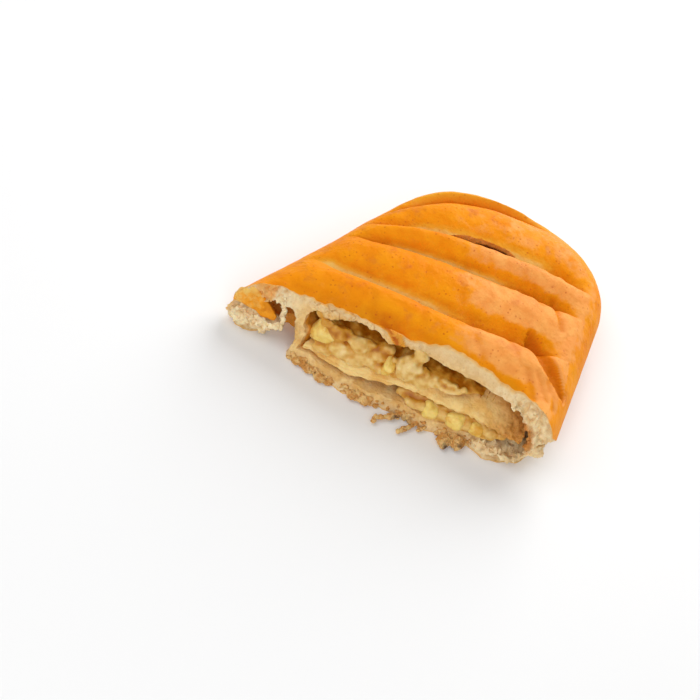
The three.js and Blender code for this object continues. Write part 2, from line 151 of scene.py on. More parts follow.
# Where the foot of each row is pale: it starts, is full, fades and is gone across the loaf, its share and its width.
PALE_FEET = {
    1: (-0.9, -0.75, -0.1, 0.35, 1, 0.21), 2: (-0.72, -0.5, 0.1, 0.45, 1, 0.2),
    3: (-0.72, -0.5, 0.35, 0.6, 1, 0.3), 4: (-0.9, -0.75, -0.5, -0.1, 0.5, 0.15),
}
SIDE_SHARE, ON_TABLE = 0.055, 1e-4


def clamp(x, low=0.0, high=1.0):
    return min(max(x, low), high)


def lerp(a, b, t):
    return a + (b - a) * t


def ramp(start, end, x):
    """A smooth step from 0 at start to 1 at end."""
    t = clamp((x - start) / (end - start))
    return t * t * (3 - 2 * t)


def within(x, start, full, fading, end):
    """1 from full to fading, and softly down to 0 at start and at end."""
    return ramp(start, full, x) * (1 - ramp(fading, end, x))


def bump(x, middle, reach):
    return exp(-(((x - middle) / reach) ** 2))


def along(stations, x):
    """A value read off a line through (x, value) stations."""
    for (x0, v0), (x1, v1) in zip(stations, stations[1:]):
        if x < x1:
            return lerp(v0, v1, clamp((x - x0) / (x1 - x0)))
    return stations[-1][1]


def lumps(x, y, z, size, seed=0):
    """Smooth lumps, about -1 to 1 and roughly size across."""
    k = pi / size
    u, v, w = k * x + 1.9 * seed, k * y - 2.3 * seed, k * z + 3.1 * seed
    a = sin(u + 1.4 * sin(0.7 * w + 0.5 * v)) * cos(w + 1.2 * sin(0.8 * u - 0.4 * v))
    b = sin(0.6 * v + 0.5 * u + 1.3 * sin(0.9 * w)) * cos(0.7 * v - 0.8 * w)
    return 0.7 * a + 0.4 * b


def grain(p, size, seed=0.0):
    """Natural unevenness at a place, about -1 to 1."""
    return noise.noise(Vector((p[0], p[1], p[2])) / size + Vector((seed, 3.7 * seed, 1.3 * seed)))


def centre_x(y):
    return SWAY * (y - TEAR_Y - 2)


def half_width(y, inset=0.0, end=END_Y):
    straight = TEAR_WIDTH / 2 - WIDTH_LOST * (y - TEAR_Y - 7) - inset
    t = clamp((y - ROUND_FROM_Y) / (end - ROUND_FROM_Y))
    return max(straight, 1) * (1 - t ** END_ROUNDNESS) ** (1 / END_ROUNDNESS)


def crown_z(y, end=END_Y):
    t = clamp((y - CROWN_FALLS_FROM_Y) / (end + 1 - CROWN_FALLS_FROM_Y))
    return BULGE_Z + (CROWN_Z - BULGE_Z) * sqrt(1 - t ** 3.2)


def arch(u, y, square=False):
    """How high the arch stands across the loaf: 1 on the crown, 0 at the sides."""
    towards_end = ramp(TEAR_Y, ROUND_FROM_Y, y)
    power = 6 if square else lerp(2.1, 2.9, towards_end) if u < 0 else lerp(5, 3.2, towards_end)
    return sqrt(max(0.0, 1 - min(1.0, abs(u)) ** power))


def row_at(phase):
    """The row across the loaf that lies so many strips from the torn slash: y of its ends, and its bow."""
    i = int(clamp(floor(phase), 0, len(ROWS) - 2))
    t = max(phase, 0) - i
    beyond = min(phase, 0) * BEYOND_PITCH
    return [lerp(ROWS[i][k], ROWS[i + 1][k], t) + (beyond if k < 2 else 0) for k in range(3)]


def strip_rise(t):
    """The rise of a strip from its foot at 0 to its ridge at about 0.65, and down its steep back to 1."""
    return sin(pi * t ** 1.55) ** 0.66


def groove_depth(phase, across):
    reach = within(across, -0.95, -0.6, 0.6, 0.88)
    rim_reach = within(across, -1, -0.86, -0.15, 0.45)
    if phase > 4:
        lift = RIM_LIFT * sin(pi * min(phase - 4, 1)) * (1 - ramp(0, 0.6, across))
        return RIM_CREASE_DEPTH * rim_reach * (1 - min((phase - 4) / 0.3, 1) ** 0.7) - lift
    near = 1 - strip_rise(phase % 1) if phase > 0 else 1 - abs(sin(pi * phase)) ** 0.6
    return near * lerp(GROOVE_DEPTH * reach, RIM_CREASE_DEPTH * rim_reach, ramp(3.5, 4, phase))


def from_line(x, y, start, end):
    """The share of a line at which a place lies beside it, and how far away."""
    (x0, y0), (x1, y1) = start, end
    dx, dy = x1 - x0, y1 - y0
    t = clamp(((x - x0) * dx + (y - y0) * dy) / (dx * dx + dy * dy))
    return t, hypot(x - x0 - t * dx, y - y0 - t * dy)


def fold_depth(x, y):
    """How deep the skin is pinched in on the right shoulder: steep at the front, a flat wall behind."""
    nearest, depth = 99.0, 0.0
    for k, (start, end) in enumerate(zip(FOLD_LINE, FOLD_LINE[1:])):
        t, away = from_line(x, y, start, end)
        if away < nearest:
            nearest = away
            share = away / lerp(FOLD_WALL[k], FOLD_WALL[k + 1], t)
            sink = lerp(FOLD_SINK[k], FOLD_SINK[k + 1], t)
            behind = (x - start[0]) * (end[1] - start[1]) - (y - start[1]) * (end[0] - start[0]) < 0
            far_wall = sink * (1 - 0.3 * share) * (1 - ramp(0.6, 1.0, share)) - 0.3 * bump(share, 1.12, 0.14)
            depth = far_wall if behind else sink * bump(away, 0, 1.1)
    return depth


def crease_depth(x, y):
    return sum(
        deep * bump(from_line(x, y, start, end)[1], 0, 1.5 if deep > 0 else 2.4) for start, end, deep in CREASES
    )


def side_x(y, sign):
    swell = 1 + 0.075 * bump(y, 44, 12) + 0.022 * bump(y, 14, 14) if sign < 0 else 1
    return centre_x(y) + sign * half_width(y) * swell


def on_row(across, phase):
    """Where a place on a row lies, seen from above."""
    y_left, y_right, bow = row_at(phase)
    share = (across + 1) / 2
    x = lerp(side_x(y_left, -1), side_x(y_right, 1), share)
    return x, lerp(y_left, y_right, share) + bow * (1 - across * across)


def on_skin(across, phase, side):
    """A place on the loaf's skin. side is 1 on top, and falls to 0 down a side from its bulge to the table."""
    x, y = on_row(across, phase)
    if side < 1:
        sign = 1 if across > 0 else -1
        step = 0.02
        slope = (side_x(min(y + step, END_Y), sign) - side_x(y - step, sign)) / (2 * step)
        outward = Vector((sign, -sign * slope)).normalized()
        inset = TUCK * (1 - side) ** 2 + 0.9 * max(0.0, 1 - side / 0.12) ** 2
        return Vector((x - outward.x * inset, y - outward.y * inset, BULGE_Z * side))
    low, high = side_x(y, -1), side_x(y, 1)
    u = clamp(2 * (x - low) / max(high - low, 0.01) - 1, -1, 1)
    rise = arch(u, y)
    crown = max(crown_z(y), BULGE_Z + 0.3)
    z = BULGE_Z + (crown - BULGE_Z) * rise - groove_depth(phase, across) * clamp(rise * 1.8 - 0.35)
    fold = fold_depth(x, y) * clamp(rise * 2)
    return Vector((x - fold * 0.55, y, z - fold * 0.9 - crease_depth(x, y) * clamp(rise * 2)))


def lattice(cuts_x, cuts_y, cuts_z):
    """A closed box from -1 to 1 whose faces are cut into even squares."""
    box = bmesh.new()
    bmesh.ops.create_cube(box, size=2)
    for axis, cuts in enumerate((cuts_x, cuts_y, cuts_z)):
        run = [e for e in box.edges if abs(abs(e.verts[0].co[axis] - e.verts[1].co[axis]) - 2) < 1e-4]
        if cuts:
            bmesh.ops.subdivide_edges(box, edges=run, cuts=cuts, use_grid_fill=False)
    return box


def shaped(box, place):
    """Moves every vertex of a box by a function of its place."""
    for v in box.verts:
        v.co = place(v.co.x, v.co.y, v.co.z)
    bmesh.ops.recalc_face_normals(box, faces=box.faces)
    return box


def apply_modifiers(made):
    evaluated = made.evaluated_get(bpy.context.evaluated_depsgraph_get())
    mesh = bpy.data.meshes.new_from_object(evaluated)
    made.modifiers.clear()
    spent = made.data
    made.data = mesh
    bpy.data.meshes.remove(spent)


def combine(made, other, how="DIFFERENCE"):
    """Cuts the other object from this one, or joins it on, and uses it up."""
    tool = made.modifiers.new("combine", "BOOLEAN")
    tool.object = other
    tool.operation = how
    tool.solver = "MANIFOLD"
    apply_modifiers(made)
    spent = other.data
    bpy.data.objects.remove(other)
    bpy.data.meshes.remove(spent)


def settle(made, sharp_beyond):
    """Takes a finished mesh to metres in the frame, smooth but where it turns by more than so many degrees."""
    made.data.transform(Matrix.Scale(0.001, 4) @ Matrix.Translation(TO_FRAME))
    made.data.polygons.foreach_set("use_smooth", [True] * len(made.data.polygons))
    made.data.set_sharp_from_angle(angle=radians(sharp_beyond))
    made.data.update()


def keep_largest(bm):
    """Drops the scraps that a cut leaves beside the body."""
    unseen, bodies = set(bm.verts), []
    while unseen:
        body, front = set(), {unseen.pop()}
        while front:
            body |= front
            front = {edge.other_vert(v) for v in front for edge in v.link_edges} & unseen
            unseen -= front
        bodies.append(body)
    for scrap in sorted(bodies, key=len)[:-1]:
        bmesh.ops.delete(bm, geom=list(scrap), context="VERTS")


class Mixture:
    """A tree of shader nodes, and the sums that make its masks."""

    def __init__(self, tree):
        self.tree = tree

    def node(self, kind, sockets, **settings):
        """A node with its settings made, and its sockets set or linked."""
        made = self.tree.nodes.new(kind)
        for key, value in settings.items():
            setattr(made, key, value)
        for key, value in sockets.items():
            if isinstance(value, bpy.types.NodeSocket):
                self.tree.links.new(value, made.inputs[key])
            else:
                made.inputs[key].default_value = value
        return made

    def place(self):
        return self.node("ShaderNodeTexCoord", {}).outputs["Object"]

    def reckon(self, how, a, b, capped=True):
        """Arithmetic on two masks, kept between 0 and 1."""
        return self.node("ShaderNodeMath", {0: a, 1: b}, operation=how, use_clamp=capped).outputs[0]

    def times(self, a, b):
        return self.reckon("MULTIPLY", a, b)

    def move(self, how, a, b):
        return self.node("ShaderNodeVectorMath", {0: a, 1: b}, operation=how).outputs[0]

    def fade(self, value, start, end, how="SMOOTHSTEP"):
        """A mask that rises from 0 to 1 as a value goes from start to end."""
        sockets = {"Value": value, "From Min": start, "From Max": end}
        return self.node("ShaderNodeMapRange", sockets, interpolation_type=how).outputs[0]


def shader_group(name, ins):
    """An empty node group that is to turn named values into a mask."""
    tree = bpy.data.node_groups.new(name, "ShaderNodeTree")
    for title, default in ins.items():
        socket = tree.interface.new_socket(title, in_out="INPUT", socket_type="NodeSocketFloat")
        socket.default_value = default
    tree.interface.new_socket("Mask", in_out="OUTPUT", socket_type="NodeSocketFloat")
    return Mixture(tree), tree.nodes.new("NodeGroupInput").outputs, tree.nodes.new("NodeGroupOutput").inputs["Mask"]


# Soft patches, from 0 to 1.
patches, given, mask = shader_group("patches", {"Scale": 100, "Detail": 3, "From": 0.4, "To": 0.6, "Seed": 0})
offset = patches.node("ShaderNodeCombineXYZ", {"X": given["Seed"], "Z": given["Seed"]}).outputs[0]
texture = patches.node("ShaderNodeTexNoise", {
    "Vector": patches.move("ADD", patches.place(), offset), "Scale": given["Scale"], "Detail": given["Detail"],
    "Roughness": 0.6,
})
patches.tree.links.new(patches.fade(texture.outputs[0], given["From"], given["To"]), mask)

# Small round spots, such as specks of toast or pores. Share is how many of the cells hold one.
WOBBLE = 0.0007
spots, given, mask = shader_group("spots", {"Scale": 400, "Size": 0.2, "Soft": 0.1, "Share": 0.5})
coords = spots.place()
wobble = spots.node("ShaderNodeTexNoise", {"Vector": coords, "Scale": 900, "Detail": 2}).outputs[1]
moved = spots.move("ADD", coords, spots.move("MULTIPLY", wobble, (WOBBLE,) * 3))
cells = spots.node("ShaderNodeTexVoronoi", {"Vector": moved, "Scale": given["Scale"]})
edge = spots.reckon("ADD", given["Size"], given["Soft"], capped=False)
round_spot = spots.fade(cells.outputs["Distance"], edge, given["Size"])
chosen = spots.node("ShaderNodeSeparateColor", {0: cells.outputs["Color"]}).outputs[0]
present = spots.reckon("LESS_THAN", chosen, given["Share"])
spots.tree.links.new(spots.times(round_spot, present), mask)


def shade(colour):
    """A colour given as red, green and blue on a screen, from 0 to 255, or as a socket."""
    if isinstance(colour, bpy.types.NodeSocket):
        return colour
    return (*(c / 12.92 if c <= 0.04045 else ((c + 0.055) / 1.055) ** 2.4 for c in (k / 255 for k in colour)), 1.0)


class Finish(Mixture):
    """A material whose tone is laid on coat by coat."""

    SOCKETS = {
        "roughness": ("Roughness",), "gloss": ("Specular IOR Level",), "syrup": ("Coat Weight", "Coat Roughness"),
        "soft": ("Subsurface Weight", "Subsurface Radius", "Subsurface Scale"),
    }

    def __init__(self, name):
        self.material, self.tree, self.shader = new_material(name)

    def patches(self, scale, detail, start=0.4, end=0.6, seed=0):
        sockets = {"Scale": scale, "Detail": detail, "From": start, "To": end, "Seed": seed}
        return self.node("ShaderNodeGroup", sockets, node_tree=patches.tree).outputs[0]

    def spots(self, scale, size, soft, share):
        sockets = {"Scale": scale, "Size": size, "Soft": soft, "Share": share}
        return self.node("ShaderNodeGroup", sockets, node_tree=spots.tree).outputs[0]

    def mark(self, name):
        """A mask that the vertices hold."""
        return self.node("ShaderNodeAttribute", {}, attribute_name=name).outputs["Fac"]

    def across(self):
        """How far right a place lies, in metres."""
        return self.node("ShaderNodeSeparateXYZ", {0: self.place()}).outputs[0]

    def blend(self, mask, a, b):
        return self.node("ShaderNodeMix", {0: mask, 6: shade(a), 7: shade(b)}, data_type="RGBA").outputs[2]

    def coat(self, mask, share, colour):
        """Lays a share of a colour over the tone where the mask is."""
        self.tone = self.blend(mask if share == 1 else self.times(mask, share), self.tone, colour)

    def stops(self, value, *stops):
        """Starts the tone with colours by value."""
        made = self.node("ShaderNodeValToRGB", {0: value})
        elements = made.color_ramp.elements
        for position, colour in stops:
            stop = elements[-position] if position in (0, 1) else elements.new(position)
            stop.color = shade(colour)
        self.tone = made.outputs[0]

    def relief(self, height, distance, strength, under=None):
        """A normal bent by a height, in metres of relief."""
        sockets = {"Height": height, "Distance": distance, "Strength": strength}
        if under:
            sockets["Normal"] = under
        return self.node("ShaderNodeBump", sockets).outputs[0]

    def uneven(self, scale, detail, distance, strength):
        return self.relief(self.patches(scale, detail, 0.25, 0.75), distance, strength)

    def done(self, normal, **values):
        """Puts on the tone and the relief, and sets what is the same all over."""
        self.tree.links.new(self.tone, self.shader.inputs["Base Color"])
        self.tree.links.new(normal, self.shader.inputs["Normal"])
        for name, given in values.items():
            for socket, value in zip(self.SOCKETS[name], given if isinstance(given, tuple) else (given,)):
                self.shader.inputs[socket].default_value = value


# Crust: orange gold under a soft gloss of egg, pale at some strips' feet and toasted on its ridges, with specks.
# Painted shade darkens each strip's foot, its low sides, folds and creases; a painted sheen lies on the crowns to the
# right.
crust = Finish("egg_washed_crust")
ridge = crust.mark("ridge")
mottled = crust.patches(scale=170, detail=5, start=0.3, end=0.7, seed=7)
# Darker at each strip's foot and low on its sides, lighter on its crown: painted shade.
crust.stops(
    ridge, (0, (208, 122, 2)), (0.2, (222, 131, 1)), (0.45, (241, 147, 3)), (0.75, (247, 152, 8)), (1, (245, 146, 12))
)
crust.coat(crust.patches(scale=55, detail=3, start=0.36, end=0.66), 0.6, (234, 126, 0))
crust.coat(mottled, 0.4, (250, 164, 20))
toasted = crust.times(ridge, crust.patches(scale=120, detail=6, start=0.54, end=0.72, seed=3))
crust.coat(toasted, 0.5, (206, 108, 34))
crust.coat(crust.patches(scale=95, detail=6, start=0.48, end=0.62, seed=13), 0.3, (234, 128, 0))
# A peach veil on the crowns that face up, towards the right: a painted sheen, broken by streaks.
streaks = crust.times(crust.patches(scale=190, detail=8, start=0.2, end=0.8, seed=4), 0.7)
painted_sheen_veil = crust.fade(crust.reckon("ADD", crust.mark("dry"), streaks, capped=False), 0.5, 1.05)
crust.coat(painted_sheen_veil, 0.8, crust.blend(mottled, (250, 176, 96), (240, 152, 78)))
crust.coat(toasted, 0.25, (206, 108, 50))
# Pale and then cream at some strips' feet, and paler on the back rim, where it is painted light.
ragged_pale = crust.reckon("ADD", crust.mark("pale"), crust.times(crust.patches(scale=420, detail=3), 0.12))
crust.coat(crust.fade(ragged_pale, 0.1, 0.6), 0.8, (234, 164, 42))
crust.coat(crust.fade(ragged_pale, 0.55, 1.0), 0.85, (232, 190, 104))
# Painted shade in the fold, the creases, the groove feet, the dent and the tooth's fold.
crust.coat(crust.mark("pinch"), 0.75, (196, 94, 0))
clustered = crust.patches(scale=60, detail=2, start=0.36, end=0.54, seed=11)
specks = crust.times(crust.spots(scale=520, size=0.06, soft=0.24, share=0.45), clustered)
specks = crust.reckon("MAXIMUM", specks, crust.spots(scale=300, size=0.04, soft=0.12, share=0.2))
crust.coat(specks, 0.55, (186, 66, 20))
wrinkled = crust.relief(crust.patches(scale=150, detail=4, start=0.3, end=0.7, seed=5), 0.0009, 0.4)
fine = crust.patches(scale=520, detail=4, start=0.3, end=0.7)
crust.done(crust.relief(fine, 0.0003, 0.3, wrinkled), roughness=0.55, gloss=0.07)

# Crumb: cream and soft, whitish next to the crust, and stained amber by the syrup on the inside of the shell. Painted
# shade darkens its pores, pits, slit and the tooth's fold, and painted light partly whitens the tongue at the left.
crumb = Finish("pale_crumb")
depth, pinch = crumb.mark("depth"), crumb.mark("pinch")
crumb.tone = crumb.blend(crumb.patches(scale=160, detail=4), (242, 206, 140), (228, 180, 104))
# Whiter on the tongue at the left, partly its own colour and partly painted light, and at the right corner.
for start, end, share in ((-0.041, -0.047, 0.85), (0.034, 0.042, 0.6)):
    crumb.coat(crumb.fade(crumb.across(), start, end, "LINEAR"), share, (255, 238, 196))
crumb.coat(crumb.fade(depth, 3.6, 1.4, "LINEAR"), 0.7, (238, 210, 162))
crumb.coat(crumb.fade(depth, 0.7, 0.0, "LINEAR"), 0.85, (238, 168, 52))
crumb.coat(crumb.fade(depth, 6.6, 8.8), 0.9, (204, 124, 24))
crumb.coat(crumb.patches(scale=430, detail=6, start=0.42, end=0.68, seed=8), 0.32, (208, 158, 100))
# Pores, pits and the creases between clumps are darkened with painted shade.
pores = crumb.spots(scale=700, size=0.1, soft=0.25, share=0.3)
crumb.coat(pores, 0.2, (190, 134, 76))
crumb.coat(crumb.mark("pitted"), 0.4, (212, 162, 92))
crumb.coat(crumb.fade(pinch, 0.05, 0.45, "LINEAR"), 0.9, (232, 154, 24))
# The slit is darkened with painted shade.
crumb.coat(crumb.fade(crumb.mark("slit"), 0.25, 0.75), 1, (112, 58, 6))
# Painted shade in the tooth's fold, and a little in the side hollows.
crumb.coat(crumb.fade(pinch, 0.5, 0.9, "LINEAR"), 1, (194, 102, 14))
strands = crumb.uneven(900, 4, 0.0004, 0.5)
crumb.done(
    crumb.relief(crumb.reckon("SUBTRACT", 1.0, pores, capped=False), 0.0005, 0.4, strands),
    roughness=0.72, gloss=0.3, soft=(0.25, (1, 0.7, 0.4), 0.0012),
)

# The loaf before it is torn: rows from beyond the tear to the tip, closest in the slashes.
rows = [-1.8, -1.3, -0.95] + [-0.9 + 0.9 * step / 22 for step in range(22)]
for strip, count in enumerate((48, 44, 30, 40)):
    for step in range(count):
        t = step / count
        rows.append(strip + t - 0.62 * sin(2 * pi * t) / (2 * pi))
rows += [4 + 0.99999 * sin(pi / 2 * step / 66) for step in range(67)]
skin_values = []


def across_of(s):
    """The place across and down the side, for a share of the way round from one foot to the other."""
    if s < SIDE_SHARE:
        return -1, s / SIDE_SHARE
    if s > 1 - SIDE_SHARE:
        return 1, (1 - s) / SIDE_SHARE
    t = (s - SIDE_SHARE) / (1 - 2 * SIDE_SHARE)
    return lerp(2 * t - 1, -cos(pi * t), 0.55), 1


def skin_marks(across, phase, side, x, y):
    """How pale the skin is, pale and then yellow at a strip's foot; how far it lies from the painted shade at the foot
    and low on the sides; and how much painted shade lies in its fold and creases.
    """
    t = phase % 1 if phase < 4 else 0.5 + 0.5 * min(1.0, (phase - 4) / 0.5)
    row = floor(phase + 0.03)
    past = phase - row
    inside = within(across, -0.97, -0.75, 0.62, 0.9)
    # From 0 at a strip's foot to 1 on its crown, and less down the sides, where the crust takes painted shade.
    crown_over_foot_shade = lerp(0.7, ramp(0.05, 0.55, t), inside)
    # Painted shade lies along the fold and the creases, and at a strip's foot where it is not pale.
    pinch = max(clamp(fold_depth(x, y) / 1.4), 0.6 * clamp(crease_depth(x, y) / 0.9) * (side == 1))
    pale = 0.0
    if side == 1 and row in PALE_FEET:
        start, full, fading, gone, share, wide = PALE_FEET[row]
        reach = share * within(across, start, full, fading, gone)
        pale = reach * (1 - ramp(0.03, wide, past)) * ramp(-0.03, -0.005, past)
        length = inside if row < 4 else within(across, -1, -0.8, 0, 0.45)
        pinch = max(pinch, 0.55 * (1 - pale) * length * (1 - ramp(0.03, 0.13, past)))
    return pale, crown_over_foot_shade * side, pinch, phase


loaf = bmesh.new()
bmesh.ops.create_grid(loaf, x_segments=190, y_segments=len(rows) - 1, size=1)
for v in loaf.verts:
    across, side = across_of((v.co.x + 1) / 2)
    row = (v.co.y + 1) / 2 * (len(rows) - 1)
    i = min(int(row), len(rows) - 2)
    phase = lerp(rows[i], rows[i + 1], row - i)
    v.co = on_skin(across, phase, side)
    lift = 0.5 * grain(v.co, 17, 1) + 0.26 * grain(v.co, 6.5, 2) + 0.12 * grain(v.co, 2.6, 3)
    marks = skin_marks(across, phase, side, v.co.x, v.co.y)
    puckers = grain((v.co.x + 0.35 * v.co.y, 0.32 * v.co.y, 0), 3.4, 4)
    lift += 0.5 * marks[1] * puckers * ramp(-30, 20, v.co.x) * (1 - ramp(26, 44, v.co.y))
    v.co.z += lift * side * (1 if side == 1 else 0.5)
    if side < 1:
        v.co.x += lift * 0.6 * side
    v.co.z = clamp(v.co.z, 0, CROWN_Z - 0.05)
    v.co.x = clamp(v.co.x, -69.9, 69.5)
    v.co.y = min(v.co.y, END_Y - 0.05)
    skin_values.append((v.co.copy(), *marks))
bmesh.ops.remove_doubles(loaf, verts=loaf.verts, dist=0.02)

# The underside and the front are closed with one face each.
rim = [e for e in loaf.edges if e.is_boundary]
feet = [v for v in loaf.verts if v.is_boundary and v.co.z < ON_TABLE]
front_left = min((v for v in feet if v.co.x < 0), key=lambda v: v.co.y)
front_right = min((v for v in feet if v.co.x > 0), key=lambda v: v.co.y)
closing = loaf.edges.new((front_left, front_right))
for flat in (True, False):
    around = [e for e in rim if all(v.co.z < ON_TABLE for v in e.verts) == flat]
    bmesh.ops.contextual_create(loaf, geom=around + [closing])
bmesh.ops.triangulate(loaf, faces=[f for f in loaf.faces if len(f.verts) > 4])
bmesh.ops.recalc_face_normals(loaf, faces=loaf.faces)
skin_tree = BVHTree.FromBMesh(loaf)
dough = working_object(loaf, "dough_shell", crust.material, crumb.material)


def crumb_form(bm):
    """A form whose faces leave crumb where it cuts or joins the dough."""
    return working_object(bm, "form", crust.material, crumb.material, face_slot=1)


def hollow_sides(y, gap=0.0):
    """The left and the right of the hollow that holds the filling."""
    end = HOLLOW_END - gap
    left = lerp(LEFT_THICKNESS_AT_TEAR, LEFT_THICKNESS, ramp(-30, 12, y)) + gap
    return centre_x(y) - half_width(y, left, end), centre_x(y) + half_width(y, RIGHT_THICKNESS + gap, end)


def in_hollow(u, v, w):
    y = lerp(-84, HOLLOW_END - 0.02, 1 - (1 - (v + 1) / 2) ** 1.6)
    x_left, x_right = hollow_sides(y)
    across = sin(u * pi / 2)
    crown = max(crown_z(y, HOLLOW_END) - TOP_THICKNESS, BULGE_Z + 0.3)
    roof = BULGE_Z + (crown - BULGE_Z) * (0 if abs(u) == 1 else arch(across, y, square=True))
    p = Vector((lerp(x_left, x_right, (across + 1) / 2), y, lerp(BASE_THICKNESS, roof, (w + 1) / 2)))
    p.z += (w > 0.5) * (0.5 * grain(p, 7, 5) + 0.45 * grain(p, 2.6, 6)) * (1 - abs(u) ** 8)
    return p


def in_slit(u, v, w):
    """The slash in the third row is open in its middle."""
    across = lerp(-0.3, 0.19, (u + 1) / 2)
    gape = sqrt(max(0.02, 1 - u * u))
    x, y = on_row(across, 3.075 + 0.08 * gape * v * lerp(0.8, 1.1, (w + 1) / 2))
    z = lerp(20, 45, (w + 1) / 2)
    return Vector((x, y + 0.35 * grain((x, y, z), 2.2, 8) * abs(v), z))


combine(dough, crumb_form(shaped(lattice(90, 90, 8), in_hollow)))
combine(dough, crumb_form(shaped(lattice(60, 3, 26), in_slit)))


def rounded(size, place, turn, radius, cuts, roughness=0.0):
    """A turned block with round edges, with its middle at a place."""
    half = Vector(size) / 2
    spin = Euler(turn).to_matrix()

    def put(u, v, w):
        p = Vector((u * half.x, v * half.y, w * half.z))
        core = Vector([clamp(p[k], radius - half[k], half[k] - radius) for k in range(3)])
        outward = (p - core).normalized()
        p = core + outward * radius if (p - core).length > 1e-6 else p
        p = spin @ p + Vector(place)
        return p + spin @ outward * roughness * (grain(p, 3.1, 11) + 0.6 * grain(p, 1.4, 12))

    return shaped(lattice(*cuts), put)


# A hollow runs in between the left side and the thin inner wall, and is open to the table at its mouth. The last
# one hollows the top left corner of the room for the filling, right of that wall.
SIDE_HOLLOWS = (
    ((13.5, 50, 12.5), (-50.2, -62, 12.8), -0.08, 5, (20, 50, 18)),
    ((10, 34, 14), (-45.6, -58, 5), -0.12, 3, (14, 36, 18)),
    ((11, 30, 11), (-33.4, -48, 17.6), -0.1, 4.5, (16, 30, 16)),
)
for size, place, turn, radius, cuts in SIDE_HOLLOWS:
    combine(dough, crumb_form(rounded(size, place, (0, 0, turn), radius, cuts, roughness=0.7)))

# The torn face. The torn edge of the base steps back where the base lost pieces.
STEEP = hypot(1, TEAR_LEAN)
OUT, UPWARD = Vector((0, -1, TEAR_LEAN)) / STEEP, Vector((0, TEAR_LEAN, 1)) / STEEP
TEAR_STEPS = (
    (-75, 8), (-68, 4), (-60, 2), (-54, 6), (-48, 11), (-43, 10), (-40, 1), (-20, -1.5), (-4, -1.5), (7, 1.5),
    (22, 1.5), (39, 5.5), (47, 3), (54, 5), (60, 9), (66, 15), (72, 22),
)


def tear_y(x, z, roughness=1.0):
    stepped = along(TEAR_STEPS, x) * (1 - ramp(3, 16, z))
    corner = 14 * ramp(60, 70, x) * (1 - ramp(9, 26, z))
    tooth = -2.6 * bump(x, -5, 5) * within(z, 22, 27, 33, 37)
    peeled = 3.1 * within(x, 1, 16, 48, 60) * ramp(23, 34, z) - 2.2 * bump(x, -17, 9) * ramp(27, 34, z)
    crags = (0.8 * lumps(x, 0, z, 5.3, 1) + 0.5 * lumps(x, 0, z, 3.1, 4)) * (1 - 0.5 * ramp(24, 32, z))
    return TEAR_Y + TEAR_LEAN * z + stepped + corner + tooth + peeled + roughness * crags


def in_front_of_tear(u, v, w):
    x, z = 80 * u, 20 + 25 * w
    if v < 0:
        return Vector((x, -120, z))
    p = (x, 0, z)
    ragged = 0.8 * grain(p, 2.1, 21) + 0.6 * grain(p, 1.0, 22) + 0.5 * abs(grain(p, 3.4, 23))
    y = tear_y(x, z, 0.8)
    from_skin = skin_tree.find_nearest((x, y, z))[3]
    band = 1.6 * within(x, 0, 10, 42, 54)
    coarse = 1 - 0.6 * ramp(8, 5, z) * within(x, -40, -36, 36, 42)
    return Vector((x, y + coarse * ragged * ramp(0.2 + band, 3.2 + band, from_skin) + 0.35 * grain(p, 6, 24), z))


combine(dough, crumb_form(shaped(lattice(270, 0, 86), in_front_of_tear)))


def lump(place, radii, seed, detail=4, roughness=0.16):
    """A craggy lump of crumb."""
    ball = bmesh.new()
    bmesh.ops.create_icosphere(ball, subdivisions=detail, radius=1)

    def put(x, y, z):
        p = Vector((x, y, z))
        p *= 1 + roughness * lumps(x, y, z, 0.7, seed) + 0.10 * grain(p, 0.35, seed) + 0.06 * grain(p, 0.16, seed)
        return Vector([place[k] + p[k] * radii[k] for k in range(3)])

    return shaped(ball, put)


# Porous lumps stand out at the foot of the left side and at the right corner of the base.
POROUS_LUMPS = (
    (1, (-63, -51, 5.4), (6.5, 5, 4.8)), (2, (-55.5, -51, 5.6), (5.5, 4.6, 4.4)), (5, (-49.5, -50, 8), (3.4, 3.4, 2.4)),
    (3, (45.5, -50, 4.7), (5.8, 4.6, 4.3)), (4, (53, -48, 5), (6.5, 4.8, 4.5)), (6, (61, -42, 7.5), (7, 6, 5)),
    (8, (-34.6, -46.6, 25.2), (2.4, 1.6, 2)), (9, (-31.4, -46.9, 23.6), (2.6, 1.5, 2.2)),
    (10, (-29, -46.6, 25), (2, 1.6, 1.8)), (11, (-24, -45.4, 27.4), (2.4, 1.6, 1.6)),
    (12, (-15, -45, 28), (2.2, 1.4, 1.5)), (13, (-38.5, -46.4, 24), (2.2, 1.5, 1.5)),
    (14, (-49.2, -48.7, 18.8), (1.4, 1.2, 3.2)), (15, (-47.8, -49.8, 15.6), (1.3, 1.2, 3.4)),
    (16, (-46.8, -51.4, 12.4), (1.1, 1.1, 3.2)), (17, (-46.2, -52.8, 9.6), (0.8, 0.8, 1.9)),
)
for seed, place, radii in POROUS_LUMPS:
    body = crumb_form(lump(place, radii, seed))
    combine(body, crumb_form(shaped(lattice(60, 60, 6), in_hollow)))
    combine(dough, body, "UNION")

# A pointed tooth of skin was dragged down over the torn lip: golden, with painted shade browning the fold down its
# middle.
# The skin sinks in an arch where it starts, and is darkened there with painted shade.
DENT = ((-13.5, -44, 32.6), (-12, -42.8, 33.6), (-10, -42.4, 34), (-8, -42.6, 34), (-6, -43.4, 33.4))
TOOTH = [Vector(p) for p in ((-12, -43.8, 32), (-7.6, -44.8, 31.8), (-3.6, -47, 29.6), (0.8, -47.2, 25))]


